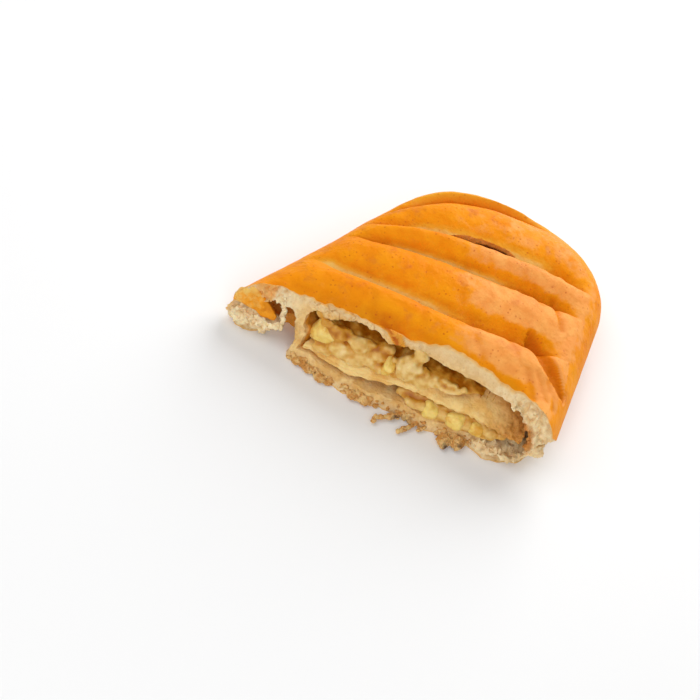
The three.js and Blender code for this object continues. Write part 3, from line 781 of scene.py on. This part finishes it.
def tooth_shade(p):
    """From 0 off the tooth through 0.5 in its gold to 1 where painted shade browns its fold."""
    gold = brown = 0.0
    for k, (a, b) in enumerate(zip(TOOTH, TOOTH[1:])):
        t = clamp((p - a).dot(b - a) / (b - a).length_squared)
        wide = lerp(1.6, 0.55, (k + t) / 3)
        across = p - a.lerp(b, t)
        gold = max(gold, 1 - ramp(2.2 * wide, 2.7 * wide, (across - Vector((0.9, 0, 0.9)) * wide).length))
        brown = max(brown, 1 - ramp(0.6 * wide, 2.0 * wide, across.length))
    return max(0.5 * gold, brown)


def store(made, name, values):
    made.data.attributes.new(name, "FLOAT", "POINT").data.foreach_set("value", values)


# The crumb is roughened, and each place on the surface learns how pale and how deep it is, and where toast, gold,
# painted shade and painted sheen lie on it.
kd = kdtree.KDTree(len(skin_values))
for i, (p, *_) in enumerate(skin_values):
    kd.insert(p, i)
kd.balance()
bm = bmesh.new()
bm.from_mesh(dough.data)
bmesh.ops.triangulate(bm, faces=[f for f in bm.faces if len(f.verts) > 4])
keep_largest(bm)
bm.normal_update()
marks = {name: [] for name in ("pale", "ridge", "pinch", "dry", "depth", "slit", "pitted")}
for v in bm.verts:
    pale = ridge = dry = slit = pitted = 0.0
    distance = skin_tree.find_nearest(v.co)[3]
    x, y, z = v.co
    if all(f.material_index == 1 for f in v.link_faces):
        bent = v.co + 0.7 * noise.noise_vector(v.co / 1.3)
        from_cell = noise.voronoi(bent / 2.1)[0][0]
        pores = max(0.0, 0.55 - from_cell) + 0.6 * max(0.0, 0.5 - noise.voronoi(bent / 1.1)[0][0])
        pores *= 0.35 + 0.9 * ramp(-0.3, 0.35, grain(v.co, 3.6, 33))
        band = 2.4 * within(x, 0, 10, 42, 54) * (y < -30)
        in_base = z < 6 and -40 < x < 40
        reach = ramp(0.1 + band, 0.8 + 1.6 * band, distance) * (0.5 if in_base else 1)
        clumpy = max(ramp(34, 40, x), ramp(-44, -54, x)) * (y < -20)
        clumps = 3.2 * (0.38 - from_cell) + 0.6 * grain(v.co, 0.9, 31) + 1.3 * grain(v.co, 3.4, 32)
        behind = y - tear_y(x, z)
        v.co += v.normal * reach * lerp(0.25 * grain(v.co, 0.9, 31) - 0.9 * pores, clumps, clumpy)
        x, y, z = v.co
        # Painted shade for the crumb's colour: in the pores, and in the creases between clumps.
        pitted = lerp(min(1.0, 1.6 * pores), ramp(0.42, 0.78, from_cell), clumpy)
        in_hollows = ramp(1.0, 4.0, behind) * within(x, -60, -57, -27, -24) * (y < 0)
        stretched = within(x, -64, -60, -54.5, -52.5) * ramp(14, 17, z)
        tooth, in_slash = tooth_shade(v.co), y > 0 and z > 20
        v.co += OUT * 0.7 * ramp(0.1, 0.6, tooth)
        pinch = max(tooth, 0.55 * in_hollows, 0.36 * stretched, 0.34 * in_slash)
        if in_slash:
            # Painted shade in the slit, darker deeper in and further right.
            slit = ramp(0.3, 3.5, distance) * ramp(-8, 16, x) + 0.4 * ramp(2, 6, distance)
    else:
        _, pale, ridge, skin_fold_shade, phase = skin_values[kd.find(v.co)[1]]
        # The tooth's fold and the dent are sunk in and darkened with painted shade.
        fold_line = ramp(0.5, 1.0, tooth_shade(v.co))
        dent = max(bump((v.co - Vector(place)).length, 0, 2.4) for place in DENT)
        pinch = max(skin_fold_shade, 0.9 * fold_line, 0.8 * dent)
        v.co.z -= max(0.7 * fold_line, 0.9 * dent)
        # Painted sheen on crowns that face up, growing to the right and fading at the far end.
        flat_on_top = ramp(0.6, 0.93, v.normal.z) * ramp(0.15, 0.75, ridge) * (1 - skin_fold_shade)
        dry = flat_on_top * ramp(-12, 30, x + 0.3 * y) * (1 - 0.6 * ramp(16, 34, y))
        # The back rim is painted paler and given some painted sheen: painted light.
        back_rim = ramp(16, 36, y) * ramp(3.95, 4.1, phase)
        pale, dry = max(pale, 0.45 * back_rim), max(dry, 0.2 * back_rim)
    v.co.z = clamp(v.co.z, 0, CROWN_Z)
    depth = min(distance, lerp(4, 12, ramp(-38, -34, x)))
    for values, value in zip(marks.values(), (pale, ridge, pinch, dry, depth, slit, pitted)):
        values.append(value)
bm.to_mesh(dough.data)
bm.free()
for name, values in marks.items():
    store(dough, name, values)
settle(dough, 55)
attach(dough, "root")
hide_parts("dough")

# ---------------------------------------------------------------- torn flap
# A thin flap of yellow skin was pulled over the torn face and curls over the tongue at the left. Thin dough, golden,
# browned with painted shade towards its right end and its lower edge.

# Its upper and lower edges from left to right, as x and z, and how much painted shade browns it there.
UPPER_EDGE = ((-69, 12.5), (-68, 15.8), (-62.5, 19.6), (-58, 17.6), (-53.3, 14.9), (-49.6, 12))
LOWER_EDGE = ((-68.6, 10.2), (-66, 11), (-61.5, 11.2), (-56.8, 10.2), (-53, 9.8), (-49.8, 10.8))
FLAP_SHADE = ((0.0, 0.0), (0.2, 0.0), (0.4, 0.1), (0.6, 0.28), (0.8, 0.42), (1.0, 0.5))
WELL_OUT, DEEPEST = 25, -1.5
flap_skin = Finish("golden_flap")
blotched = flap_skin.times(flap_skin.patches(scale=260, detail=4), 0.3)
# The mark named fold is painted shade, browning the flap towards its right end and its lower edge.
flap_skin.stops(
    flap_skin.reckon("ADD", flap_skin.mark("fold"), blotched),
    (0, (240, 196, 104)), (0.45, (238, 152, 22)), (1, (190, 92, 6)),
)
flap_skin.done(flap_skin.uneven(600, 4, 0.0003, 0.4), roughness=0.5, gloss=0.15)

bm = bmesh.new()
bm.from_mesh(dough.data)
bm.transform(Matrix.Translation(-TO_FRAME) @ Matrix.Scale(1000, 4))
shell_tree = BVHTree.FromBMesh(bm)
bm.free()


def over_tear(x, height, out):
    """The place so far up the slope of the tear, and so far out from it."""
    return Vector((x, TEAR_Y, 0)) + UPWARD * height + OUT * out


def outermost(x, height):
    """How far the shell stands out from the tear at a place."""
    start = over_tear(x, height, WELL_OUT)
    hit = shell_tree.ray_cast(start, -OUT)[0]
    return max(WELL_OUT - (hit - start).length, DEEPEST) if hit else DEEPEST


def spread_along(line, share):
    """A place so far along a bent line of evenly spaced points."""
    i = min(int(share * (len(line) - 1)), len(line) - 2)
    return Vector(line[i]).lerp(Vector(line[i + 1]), share * (len(line) - 1) - i)


def soften(bm, passes, factor=0.5):
    for _ in range(passes):
        bmesh.ops.smooth_vert(bm, verts=bm.verts, factor=factor, use_axis_x=True, use_axis_y=True, use_axis_z=True)


leaf = lattice(50, 0, 30)
flap_shade_layer = leaf.verts.layers.float.new("fold")
for v in leaf.verts:
    across, down, behind = (v.co.x + 1) / 2, (1 - v.co.z) / 2, v.co.y > 0
    ragged = 1 + 0.14 * grain((across * 6, 0, 0), 1.1, 71)
    top, low = spread_along(UPPER_EDGE, across), spread_along(LOWER_EDGE, across)
    flat = top.lerp(low, down * ragged)
    # Browner with painted shade towards the right end and the lower edge.
    v[flap_shade_layer] = along(FLAP_SHADE, across) + 0.25 * (down - 0.5)
    out = 0.2 + 1.2 * sin(pi * clamp(down * 0.8)) * (0.4 + 0.6 * sin(pi * across))
    out += outermost(flat.x, flat.y * STEEP) + 0.25 * grain((low.x, 0, 9 * down), 2.4, 72) - 1.1 * behind
    v.co = over_tear(flat.x, flat.y * STEEP, out)
soften(leaf, 5)
bmesh.ops.recalc_face_normals(leaf, faces=leaf.faces)
flap = working_object(leaf, "tongue_flap", flap_skin.material)
settle(flap, 60)
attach(flap, "root")
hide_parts("dough")

# ---------------------------------------------------------------- crumbs and shreds
# Toasted crumbs and thin shreds of the base still hang on along its torn edge and lie on the table. They are the
# same dough, baked golden and rough all over.

CRUMBS = (
    ((-35, -57, 1.9), (2.4, 1.8, 1.6)), ((-29.5, -57.8, 1.8), (2.8, 1.9, 1.5)), ((-23.5, -59, 1.7), (2.6, 1.9, 1.5)),
    ((-9, -59, 1.8), (2.8, 1.9, 1.6)), ((-4, -58.6, 1.7), (2.6, 1.8, 1.5)), ((31, -56.8, 2), (2.8, 4, 1.8)),
    ((36.2, -54.8, 2), (2.8, 3.4, 1.8)),
)
SHREDS = (
    (((12.4, -54, 2.2), (8.4, -59.4, 1.9), (4.8, -61.4, 1.7), (2.6, -63.4, 1.6), (3.6, -65.4, 1.5)), 1.15),
    (((18.5, -55, 1.7), (16.5, -59, 1.5), (14.4, -62, 1.4), (13.2, -63.4, 1.3)), 1.1),
    (((22, -56, 1.6), (19.6, -58.8, 1.4)), 0.9),
    (((8.6, -57.4, 1.6), (6.4, -58.4, 1.4)), 0.9),
)
# Stretches of the torn lower edge where loose grains stick, and how many to each.
GRAINS = ((-39, -18, 90), (-15, -1, 60), (8, 22, 40), (26, 41, 60), (-1, 8, 10))
BURNT = ((14.4, -58.4, 2.2), (37.6, -57, 2), (33, -60, 2), (10.4, -58, 2.4))

toast = Finish("toasted_crumb")
toast.tone = toast.blend(toast.patches(scale=300, detail=5), (236, 196, 126), (210, 148, 70))
toast.coat(toast.spots(scale=800, size=0.24, soft=0.2, share=0.6), 0.5, (156, 92, 36))
toast.coat(toast.times(toast.mark("burnt"), toast.patches(scale=500, detail=3, seed=2)), 1, (70, 40, 30))
toast.done(toast.uneven(1100, 4, 0.0004, 0.7), roughness=0.7, soft=(0.2, (1, 0.5, 0.2), 0.001))


def shred(points, radius, seed):
    """Small lumps strung close together along a bent line."""
    draw = random.Random(seed)
    strung = []
    for a, b in zip(points, points[1:]):
        a, b = Vector(a), Vector(b)
        count = max(2, round((b - a).length / (radius * 0.55)))
        for i in range(count):
            centre = a.lerp(b, i / count) + Vector([draw.uniform(-0.25, 0.25) for _ in range(3)])
            r = radius * draw.uniform(0.6, 1.1)
            centre.z = max(centre.z, r + 0.02)
            strung.append(lump(centre, (r, r, r * 0.85), seed + i, detail=2))
    return strung


def melted(name, forms, material, voxel, passes):
    """Runs overlapping forms together into one soft skin, and opens it for more work."""
    whole = bmesh.new()
    for form in forms:
        mesh = bpy.data.meshes.new("form")
        form.to_mesh(mesh)
        form.free()
        whole.from_mesh(mesh)
        bpy.data.meshes.remove(mesh)
    made = working_object(whole, name, material)
    tool = made.modifiers.new("melt", "REMESH")
    tool.mode = "VOXEL"
    tool.voxel_size = voxel
    apply_modifiers(made)
    bm = bmesh.new()
    bm.from_mesh(made.data)
    soften(bm, passes)
    return made, bm


def roughen(bm, *waves):
    """Moves a skin in and out by waves of grain: a height, a size and a seed each."""
    for v in bm.verts:
        v.co += v.normal * sum(height * grain(v.co, size, seed) for height, size, seed in waves)


def put_back(bm, made):
    """Ends the work on a skin that has one finish."""
    for face in bm.faces:
        face.material_index = 0
    bm.to_mesh(made.data)
    bm.free()


clusters = [lump(place, radii, 90 + i, detail=3, roughness=0.24) for i, (place, radii) in enumerate(CRUMBS)]
draw = random.Random(3)
for x_from, x_to, count in GRAINS:
    for i in range(count):
        x, r = draw.uniform(x_from, x_to), draw.uniform(0.35, 0.95)
        z = draw.uniform(0.4, 3.4) if draw.random() < 0.8 else 0.5
        place = (x, tear_y(x, z) - draw.uniform(-0.4, 1.4) * (1 - 0.2 * z), max(z, r * 0.8))
        clusters.append(lump(place, (r * draw.uniform(0.8, 1.5), r, r * 0.8), i, detail=2, roughness=0.25))
for seed, (points, radius) in enumerate(SHREDS):
    clusters += shred(points, radius, 200 + seed)
crumbs, bm = melted("toasted_crumbs", clusters, toast.material, 0.26, 1)
roughen(bm, (0.25, 1.1, 91), (0.18, 0.55, 92))
for v in bm.verts:
    v.co.z = max(v.co.z, 0.02)
burnt = [max(bump((v.co - Vector(place)).length, 0, 2.2) for place in BURNT) for v in bm.verts]
put_back(bm, crumbs)
store(crumbs, "burnt", burnt)
settle(crumbs, 80)
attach(crumbs, "root")
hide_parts("dough")

# ---------------------------------------------------------------- inner sheet
# A sheet of soft dough rolled in with the filling. It lies thin on the base at the left and swells to a thick
# fold at the right. Moist and close-grained, with thin dark seams where its layers meet; amber with syrup and painted
# shade along its top at the right, and darkened with painted shade at its right end and along its lower edge.

SHEET_UNDER = ((-40, 5.9), (-10, 6.2), (-2, 7.6), (7, 10.4), (26, 11.8), (41, 13.2), (50, 12.4), (60, 12))
SHEET_OVER = (
    (-40, 8.2), (-18, 10.2), (0, 11.6), (5, 13.1), (13, 15.2), (21, 16.9), (29, 19), (36, 21.6), (44, 23),
    (51, 22.4), (60, 19),
)
SHEET_END_X, SHEET_SHIFT, FIT = 57.5, 5, 0.35
SEAMS = ((0.42, 0.12, 0.7), (0.95, 0.1, 0.5))  # level, width and depth of each


def inward(y):
    return ramp(TEAR_Y, 40, y)


def sheet_under(x, y):
    shifted = x - 0.9 * centre_x(y) + SHEET_SHIFT
    return lerp(along(SHEET_UNDER, shifted), 9, 0.5 * inward(y)) + 0.3 * lumps(x, y, 0, 9, 2)


def sheet_over(x, y):
    shifted = x - 0.9 * centre_x(y) + SHEET_SHIFT
    over = lerp(along(SHEET_OVER, shifted), 14, 0.5 * inward(y)) + 0.4 * lumps(x, y, 0, 7, 3)
    return max(over, sheet_under(x, y) + 1.6)


def sheet_end(y):
    return SHEET_END_X + centre_x(y) - WIDTH_LOST * (y - TEAR_Y) * 0.9


def slab(under, over, left, right, set_back, cuts, belly=0.0, recess=(0, 10, 24), seams=()):
    """What lies in the hollow between two heights, from the torn face to the far end."""
    deepest, recess_from, recess_to = recess

    def put(u, v, w):
        share = (v + 1) / 2
        y = lerp(-50, HOLLOW_END - 1.2, share ** 1.2)
        x = lerp(left(y), right(y), (u + 1) / 2)
        low, high = under(x, y), over(x, y)
        nip = 1 - abs(u) ** 10 * 0.35
        if v < 0.999:
            near = 1 - share
            z = lerp(low, high, (w * nip + 1) / 2)
            front = tear_y(x, z, 0.5) + set_back - belly * (1 - w * w) + 0.8 * belly * w ** 4
            front += deepest * ramp(recess_from, recess_to, x) * ramp(-0.5, 1.0, w)
            for level, width, depth in seams:
                front += depth * bump((w + 1) / 2, level, width) * (1 - 0.9 * ramp(-6, 12, x))
            y = lerp(y, front + (y + 50), near ** 3)
            nip *= 1 - 0.12 * near ** 30
        return Vector((x, y, lerp(low, high, (w * nip + 1) / 2)))

    return shaped(lattice(*cuts), put)


moist = Finish("moist_sheet")
to_right = moist.fade(moist.across(), 0.036, 0.056)
moist.tone = moist.blend(moist.patches(scale=110, detail=4, seed=2), (248, 212, 138), (236, 186, 102))
moist.coat(moist.patches(scale=70, detail=3, start=0.55, end=0.72, seed=9), 0.5, (214, 152, 66))
# The right end of the sheet is browned with painted shade.
moist.coat(to_right, 0.85, (202, 130, 40))
spongy = moist.times(to_right, moist.patches(scale=520, detail=5, start=0.46, end=0.64, seed=5))
moist.coat(spongy, 0.5, (172, 102, 34))
# Amber patches where syrup and painted shade lie.
syrup_and_shade = moist.times(moist.mark("syrup_and_seam_shade"), moist.patches(scale=200, detail=4, start=0.1, end=0.55))
moist.coat(syrup_and_shade, 0.85, (188, 116, 34))
moist.done(moist.uneven(600, 5, 0.0005, 0.6), roughness=0.5, gloss=0.3, soft=(0.3, (1, 0.7, 0.35), 0.0015))

body = slab(
    sheet_under, sheet_over, lambda y: hollow_sides(y, FIT)[0], lambda y: min(sheet_end(y), hollow_sides(y, FIT)[1]),
    0.9, (170, 60, 16), belly=0.6, recess=(6.5, 12, 26), seams=SEAMS,
)
body.normal_update()
for v in body.verts:
    at_end = ramp(30, 48, v.co.x) * (1 - ramp(-46, -38, v.co.y))
    soft = 0.7 * grain(v.co, 5.5, 40) + 0.4 * grain(v.co, 2.4, 41) + 0.2 * grain(v.co, 1.1, 42)
    v.co += v.normal * (soft + at_end * (1.2 * grain(v.co, 2.0, 43) + 0.9 * grain(v.co, 0.9, 44)))
syrup_and_seam_shade = []
for v in body.verts:
    low, high = sheet_under(v.co.x, v.co.y), sheet_over(v.co.x, v.co.y)
    level = (v.co.z - low) / (high - low)
    # Syrup and painted shade along the top at the right, and painted shade along the lower edge where the sheet meets
    # the base.
    syrup_and_seam_shade.append(0.7 * ramp(0.5, 1.0, level) * ramp(10, 26, v.co.x) + 0.5 * ramp(0.25, 0.0, level))
sheet = working_object(body, "rolled_in_sheet", moist.material)
store(sheet, "syrup_and_seam_shade", syrup_and_seam_shade)
settle(sheet, 70)
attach(sheet, "root")
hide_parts("inner_dough_sheet")

# ---------------------------------------------------------------- upper filling
# The main bed of cooked apple in thick syrup: soft pieces run together into one glossy, lumpy mass, pale where
# pieces of fruit lie and amber where syrup is, with painted shade in its hollows and painted light on its lumps.

BED_TOP = (
    (-40, 12), (-37, 15), (-33, 19), (-28, 21.5), (-8, 20.9), (-1, 20.6), (2, 25), (6, 26.6), (11, 22.4),
    (20, 23.4), (28, 24.6), (36, 22.8), (42, 23.5), (60, 22),
)
# Fruit and syrup that show at the torn face: place, radii, and how pale each is. The last ten are thin slices
# that lie in loops.
FRUIT = [
    ((-33.8, -45.4, 21.2), (3, 2.6, 2), 0.35), ((-25.6, -49.0, 18.4), (4.6, 2.6, 4.2), 0.08),
    ((-30, -48.8, 20.6), (3, 2, 1.9), 0.2), ((-21, -50.4, 12.4), (6, 2.8, 4), 0.95),
    ((-15.6, -48.2, 18.2), (5, 3.2, 3.6), 0.75), ((-16, -51.2, 11.4), (5, 2, 2.6), 0.85),
    ((-11.4, -49.2, 14.4), (5, 2.8, 3.6), 0.85), ((-6.8, -47.3, 17.2), (4.2, 3, 3), 0.5),
    ((-28, -52.3, 9.6), (4.6, 1.8, 1.8), 0.6), ((-6, -49.9, 13.2), (3.6, 2.2, 2.4), 0.6),
    ((-5.4, -44.8, 20.6), (3.6, 3, 2.2), 0.15), ((5.8, -47.4, 18.8), (5.4, 4.6, 6.8), 0.9),
    ((7.6, -44.6, 26), (3.4, 3, 2.8), 0.7), ((11.8, -48.2, 16.8), (4.8, 3, 3.2), 0.8),
    ((15.4, -47.4, 18.6), (4, 2.6, 2.4), 0.5), ((19.4, -45.2, 19.8), (5, 2.6, 1.6), 0.1),
    ((24, -45, 20.2), (4.2, 2.4, 1.6), 0.15), ((30.5, -42.6, 21.8), (4.4, 2.4, 1.4), 0.1),
    ((-22.5, -47.2, 20.8), (2.6, 1.6, 1.5), 0.0), ((-12, -46.9, 20.4), (3, 1.6, 1.4), 0.0),
    ((-1, -47.6, 18.8), (1.8, 1.4, 1.8), 0.0), ((1.5, -49, 13), (2, 1.4, 1.6), 0.1),
    ((11.5, -46.6, 21.6), (2.2, 1.5, 1.5), 0.0),
    ((16.6, -47.5, 20.6), (1.4, 1.3, 1.5), 0.55), ((18.2, -48.1, 19.7), (1.7, 1.3, 1.2), 0.6),
    ((20.4, -48.3, 19.2), (1.8, 1.3, 1.1), 0.6), ((22.6, -48.3, 19.4), (1.8, 1.3, 1.1), 0.55),
    ((24.8, -48, 19.9), (1.8, 1.3, 1.2), 0.6), ((26.8, -47.4, 20.9), (1.7, 1.3, 1.3), 0.55),
    ((28.2, -46.6, 22.2), (1.4, 1.3, 1.5), 0.5), ((20.4, -46.9, 21.7), (1.6, 1.2, 1.1), 0.45),
    ((22.6, -46.9, 21.4), (1.7, 1.2, 1.0), 0.5), ((24.6, -46.6, 22), (1.5, 1.2, 1.1), 0.45),
]
SYRUP_PALE = 0.15


def bed_top(x, y):
    high = lerp(along(BED_TOP, x), 22, inward(y) ** 0.5) + 1.1 * lumps(x, y, 0, 6, 5) + 0.5 * lumps(x, y, 3, 3.4, 6)
    return max(high, sheet_over(x, y) + FIT + 1.2)


draw = random.Random(7)
for _ in range(70):
    y = draw.uniform(-38, 34)
    x_left, x_right = hollow_sides(y, FIT)
    x = draw.uniform(x_left + 6, min(sheet_end(y) - 20, x_right - 6))
    radii = (draw.uniform(2.8, 5), draw.uniform(2.8, 5), draw.uniform(1.6, 2.6))
    FRUIT.append(((x, y, bed_top(x, y) - 1.6), radii, draw.random()))


def mark_relief_light_and_shade(bm, made, passes=14):
    """Stores how far each place stands out of the smoothed form, from 0 in a hollow to 1 on a lump."""
    bm.normal_update()
    was = [(v.co.copy(), v.normal.copy()) for v in bm.verts]
    soften(bm, passes, 0.8)
    relief_light_and_shade = [clamp(0.5 + (p - v.co).dot(n) / 0.6) for v, (p, n) in zip(bm.verts, was)]
    for v, (p, _) in zip(bm.verts, was):
        v.co = p
    put_back(bm, made)
    store(made, "relief_light_and_shade", relief_light_and_shade)


def tint(bm, pieces):
    """How pale each vertex is, from the pieces it lies in or near."""
    values = []
    for v in bm.verts:
        weight, total = 0.25, 0.25 * SYRUP_PALE
        for place, radii, pale in pieces:
            d = sum(((v.co[k] - place[k]) / radii[k]) ** 2 for k in range(3))
            if d < 5:
                w = exp(-1.6 * d) * 4
                weight += w
                total += w * pale
        values.append(total / weight)
    return values


def fruit_finish(name):
    """Glossy cooked fruit: beige where the fruit is pale and amber where syrup is, darkened in hollows with painted
    shade and paler on lumps with painted light.
    """
    syrup = Finish(name)
    # Darker in hollows and paler on lumps: painted shade and painted light.
    fruit, relief_light_and_shade = syrup.times(syrup.mark("fruit"), 0.5), syrup.times(syrup.mark("relief_light_and_shade"), 0.42)
    veins = syrup.times(syrup.patches(scale=210, detail=6, start=0.38, end=0.66, seed=1), 0.2)
    syrup.stops(
        syrup.reckon("ADD", syrup.reckon("ADD", fruit, relief_light_and_shade), veins), (0, (146, 74, 2)), (0.28, (180, 106, 10)),
        (0.5, (208, 148, 50)), (0.74, (228, 188, 108)), (1, (242, 214, 154)),
    )
    syrup.coat(syrup.spots(scale=330, size=0.07, soft=0.05, share=0.22), 0.6, (120, 70, 28))
    syrup.done(
        syrup.uneven(420, 3, 0.0004, 0.35), roughness=0.32, gloss=0.28, syrup=(0.1, 0.15),
        soft=(0.3, (1, 0.6, 0.2), 0.0015),
    )
    return syrup.material


def cooked_fruit(name, bed, pieces, crags, material, voxel, passes, *waves):
    """Runs a bed and its pieces of fruit together into one mass."""
    forms = [bed] + [lump(place, radii, i, detail=3, roughness=crags) for i, (place, radii, _) in enumerate(pieces)]
    made, bm = melted(name, forms, material, voxel, passes)
    roughen(bm, *waves)
    tints = tint(bm, pieces)
    mark_relief_light_and_shade(bm, made)
    store(made, "fruit", tints)
    settle(made, 80)
    return made


bed = slab(
    lambda x, y: sheet_over(x, y) + 0.15, lambda x, y: bed_top(x, y) - 1.2, lambda y: hollow_sides(y, FIT)[0],
    lambda y: sheet_end(y) - 16, 1.3, (90, 60, 10), recess=(7, 16, 34),
)
upper = cooked_fruit(
    "fruit_filling", bed, FRUIT, 0.13, fruit_finish("fruit_in_syrup"), 0.5, 5, (0.45, 3.2, 51), (0.16, 1.5, 52)
)
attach(upper, "root")
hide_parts("filling_upper")

# ---------------------------------------------------------------- lower filling
# A pocket of the same fruit under the sheet, thinner and browner, where juice has run down. It is pressed between
# the base and the sheet.

POCKET_FRUIT = (
    ((13.4, -52.6, 7.4), (3.8, 2, 1.7), 0.7), ((17.4, -52, 8.4), (3, 2.2, 1.8), 0.35),
    ((26, -51.2, 8.2), (3.4, 2.2, 2.6), 0.3), ((35.4, -50, 8.6), (3, 2.2, 2.6), 0.35),
    ((45, -48.6, 9.4), (3.6, 2.4, 2.6), 0.5), ((49.4, -47, 10), (2.8, 2.2, 2.2), 0.25),
    ((21, -51.6, 5.9), (6, 2, 1.2), 0.3), ((31, -50.4, 6.2), (6, 2.2, 1.2), 0.3), ((40, -49, 6.4), (6, 2.2, 1.2), 0.3),
)
pocket = slab(
    lambda x, y: BASE_THICKNESS + FIT, lambda x, y: sheet_under(x, y) - FIT, lambda y: 4 + centre_x(y),
    lambda y: sheet_end(y) - 9, 1.9, (50, 50, 5),
)
lower = cooked_fruit(
    "fruit_pocket_filling", pocket, POCKET_FRUIT, 0.15, fruit_finish("fruit_pocket"), 0.6, 3,
    (0.25, 2.6, 61), (0.12, 1.1, 62),
)
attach(lower, "root")
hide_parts("filling_lower")

# ---------------------------------------------------------------- apple dice
# Dice of cooked apple, soft-edged and slightly see-through, pale yellow in soft amber patches, with painted light where
# they stand out. One large one stands at the left of the bed, one in its middle and three in the pocket.

DICE = (
    ((10.5, 9, 11.5), (-29.8, -47, 15), (0.2, 0.3, 0.15)), ((4.6, 7, 8.4), (-2, -48, 15.2), (0.3, 0.15, 0.2)),
    ((6.6, 7, 5.6), (20.6, -51, 7.6), (0.1, 0.2, 0.3)), ((7.6, 7, 6.2), (31.2, -50, 8.4), (0.1, -0.12, -0.2)),
    ((6.8, 7, 5.4), (39.6, -48, 8.6), (0.1, 0.25, 0.2)),
)
flesh = Finish("cooked_apple")
flesh.tone = flesh.blend(flesh.patches(scale=150, detail=4, seed=6), (244, 212, 116), (226, 168, 54))
# Paler where a die stands out: painted light.
flesh.coat(flesh.fade(flesh.mark("relief_light_and_shade"), 0.62, 0.9, "LINEAR"), 0.4, (250, 226, 150))
flesh.done(flesh.uneven(700, 3, 0.0003, 0.4), roughness=0.32, soft=(0.3, (1, 0.8, 0.35), 0.0015))
for number, (size, place, turn) in enumerate(DICE, 1):
    body = rounded(size, place, turn, min(size) * 0.36, (16, 16, 16))
    roughen(body, (0.5, 4.4, 70 + number), (0.15, 1.3, 80 + number))
    die = working_object(body, "fruit_die_%d" % number, flesh.material)
    bm = bmesh.new()
    bm.from_mesh(die.data)
    mark_relief_light_and_shade(bm, die, passes=4)
    settle(die, 80)
    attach(die, "root")
    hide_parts("apple_die_%d" % number)
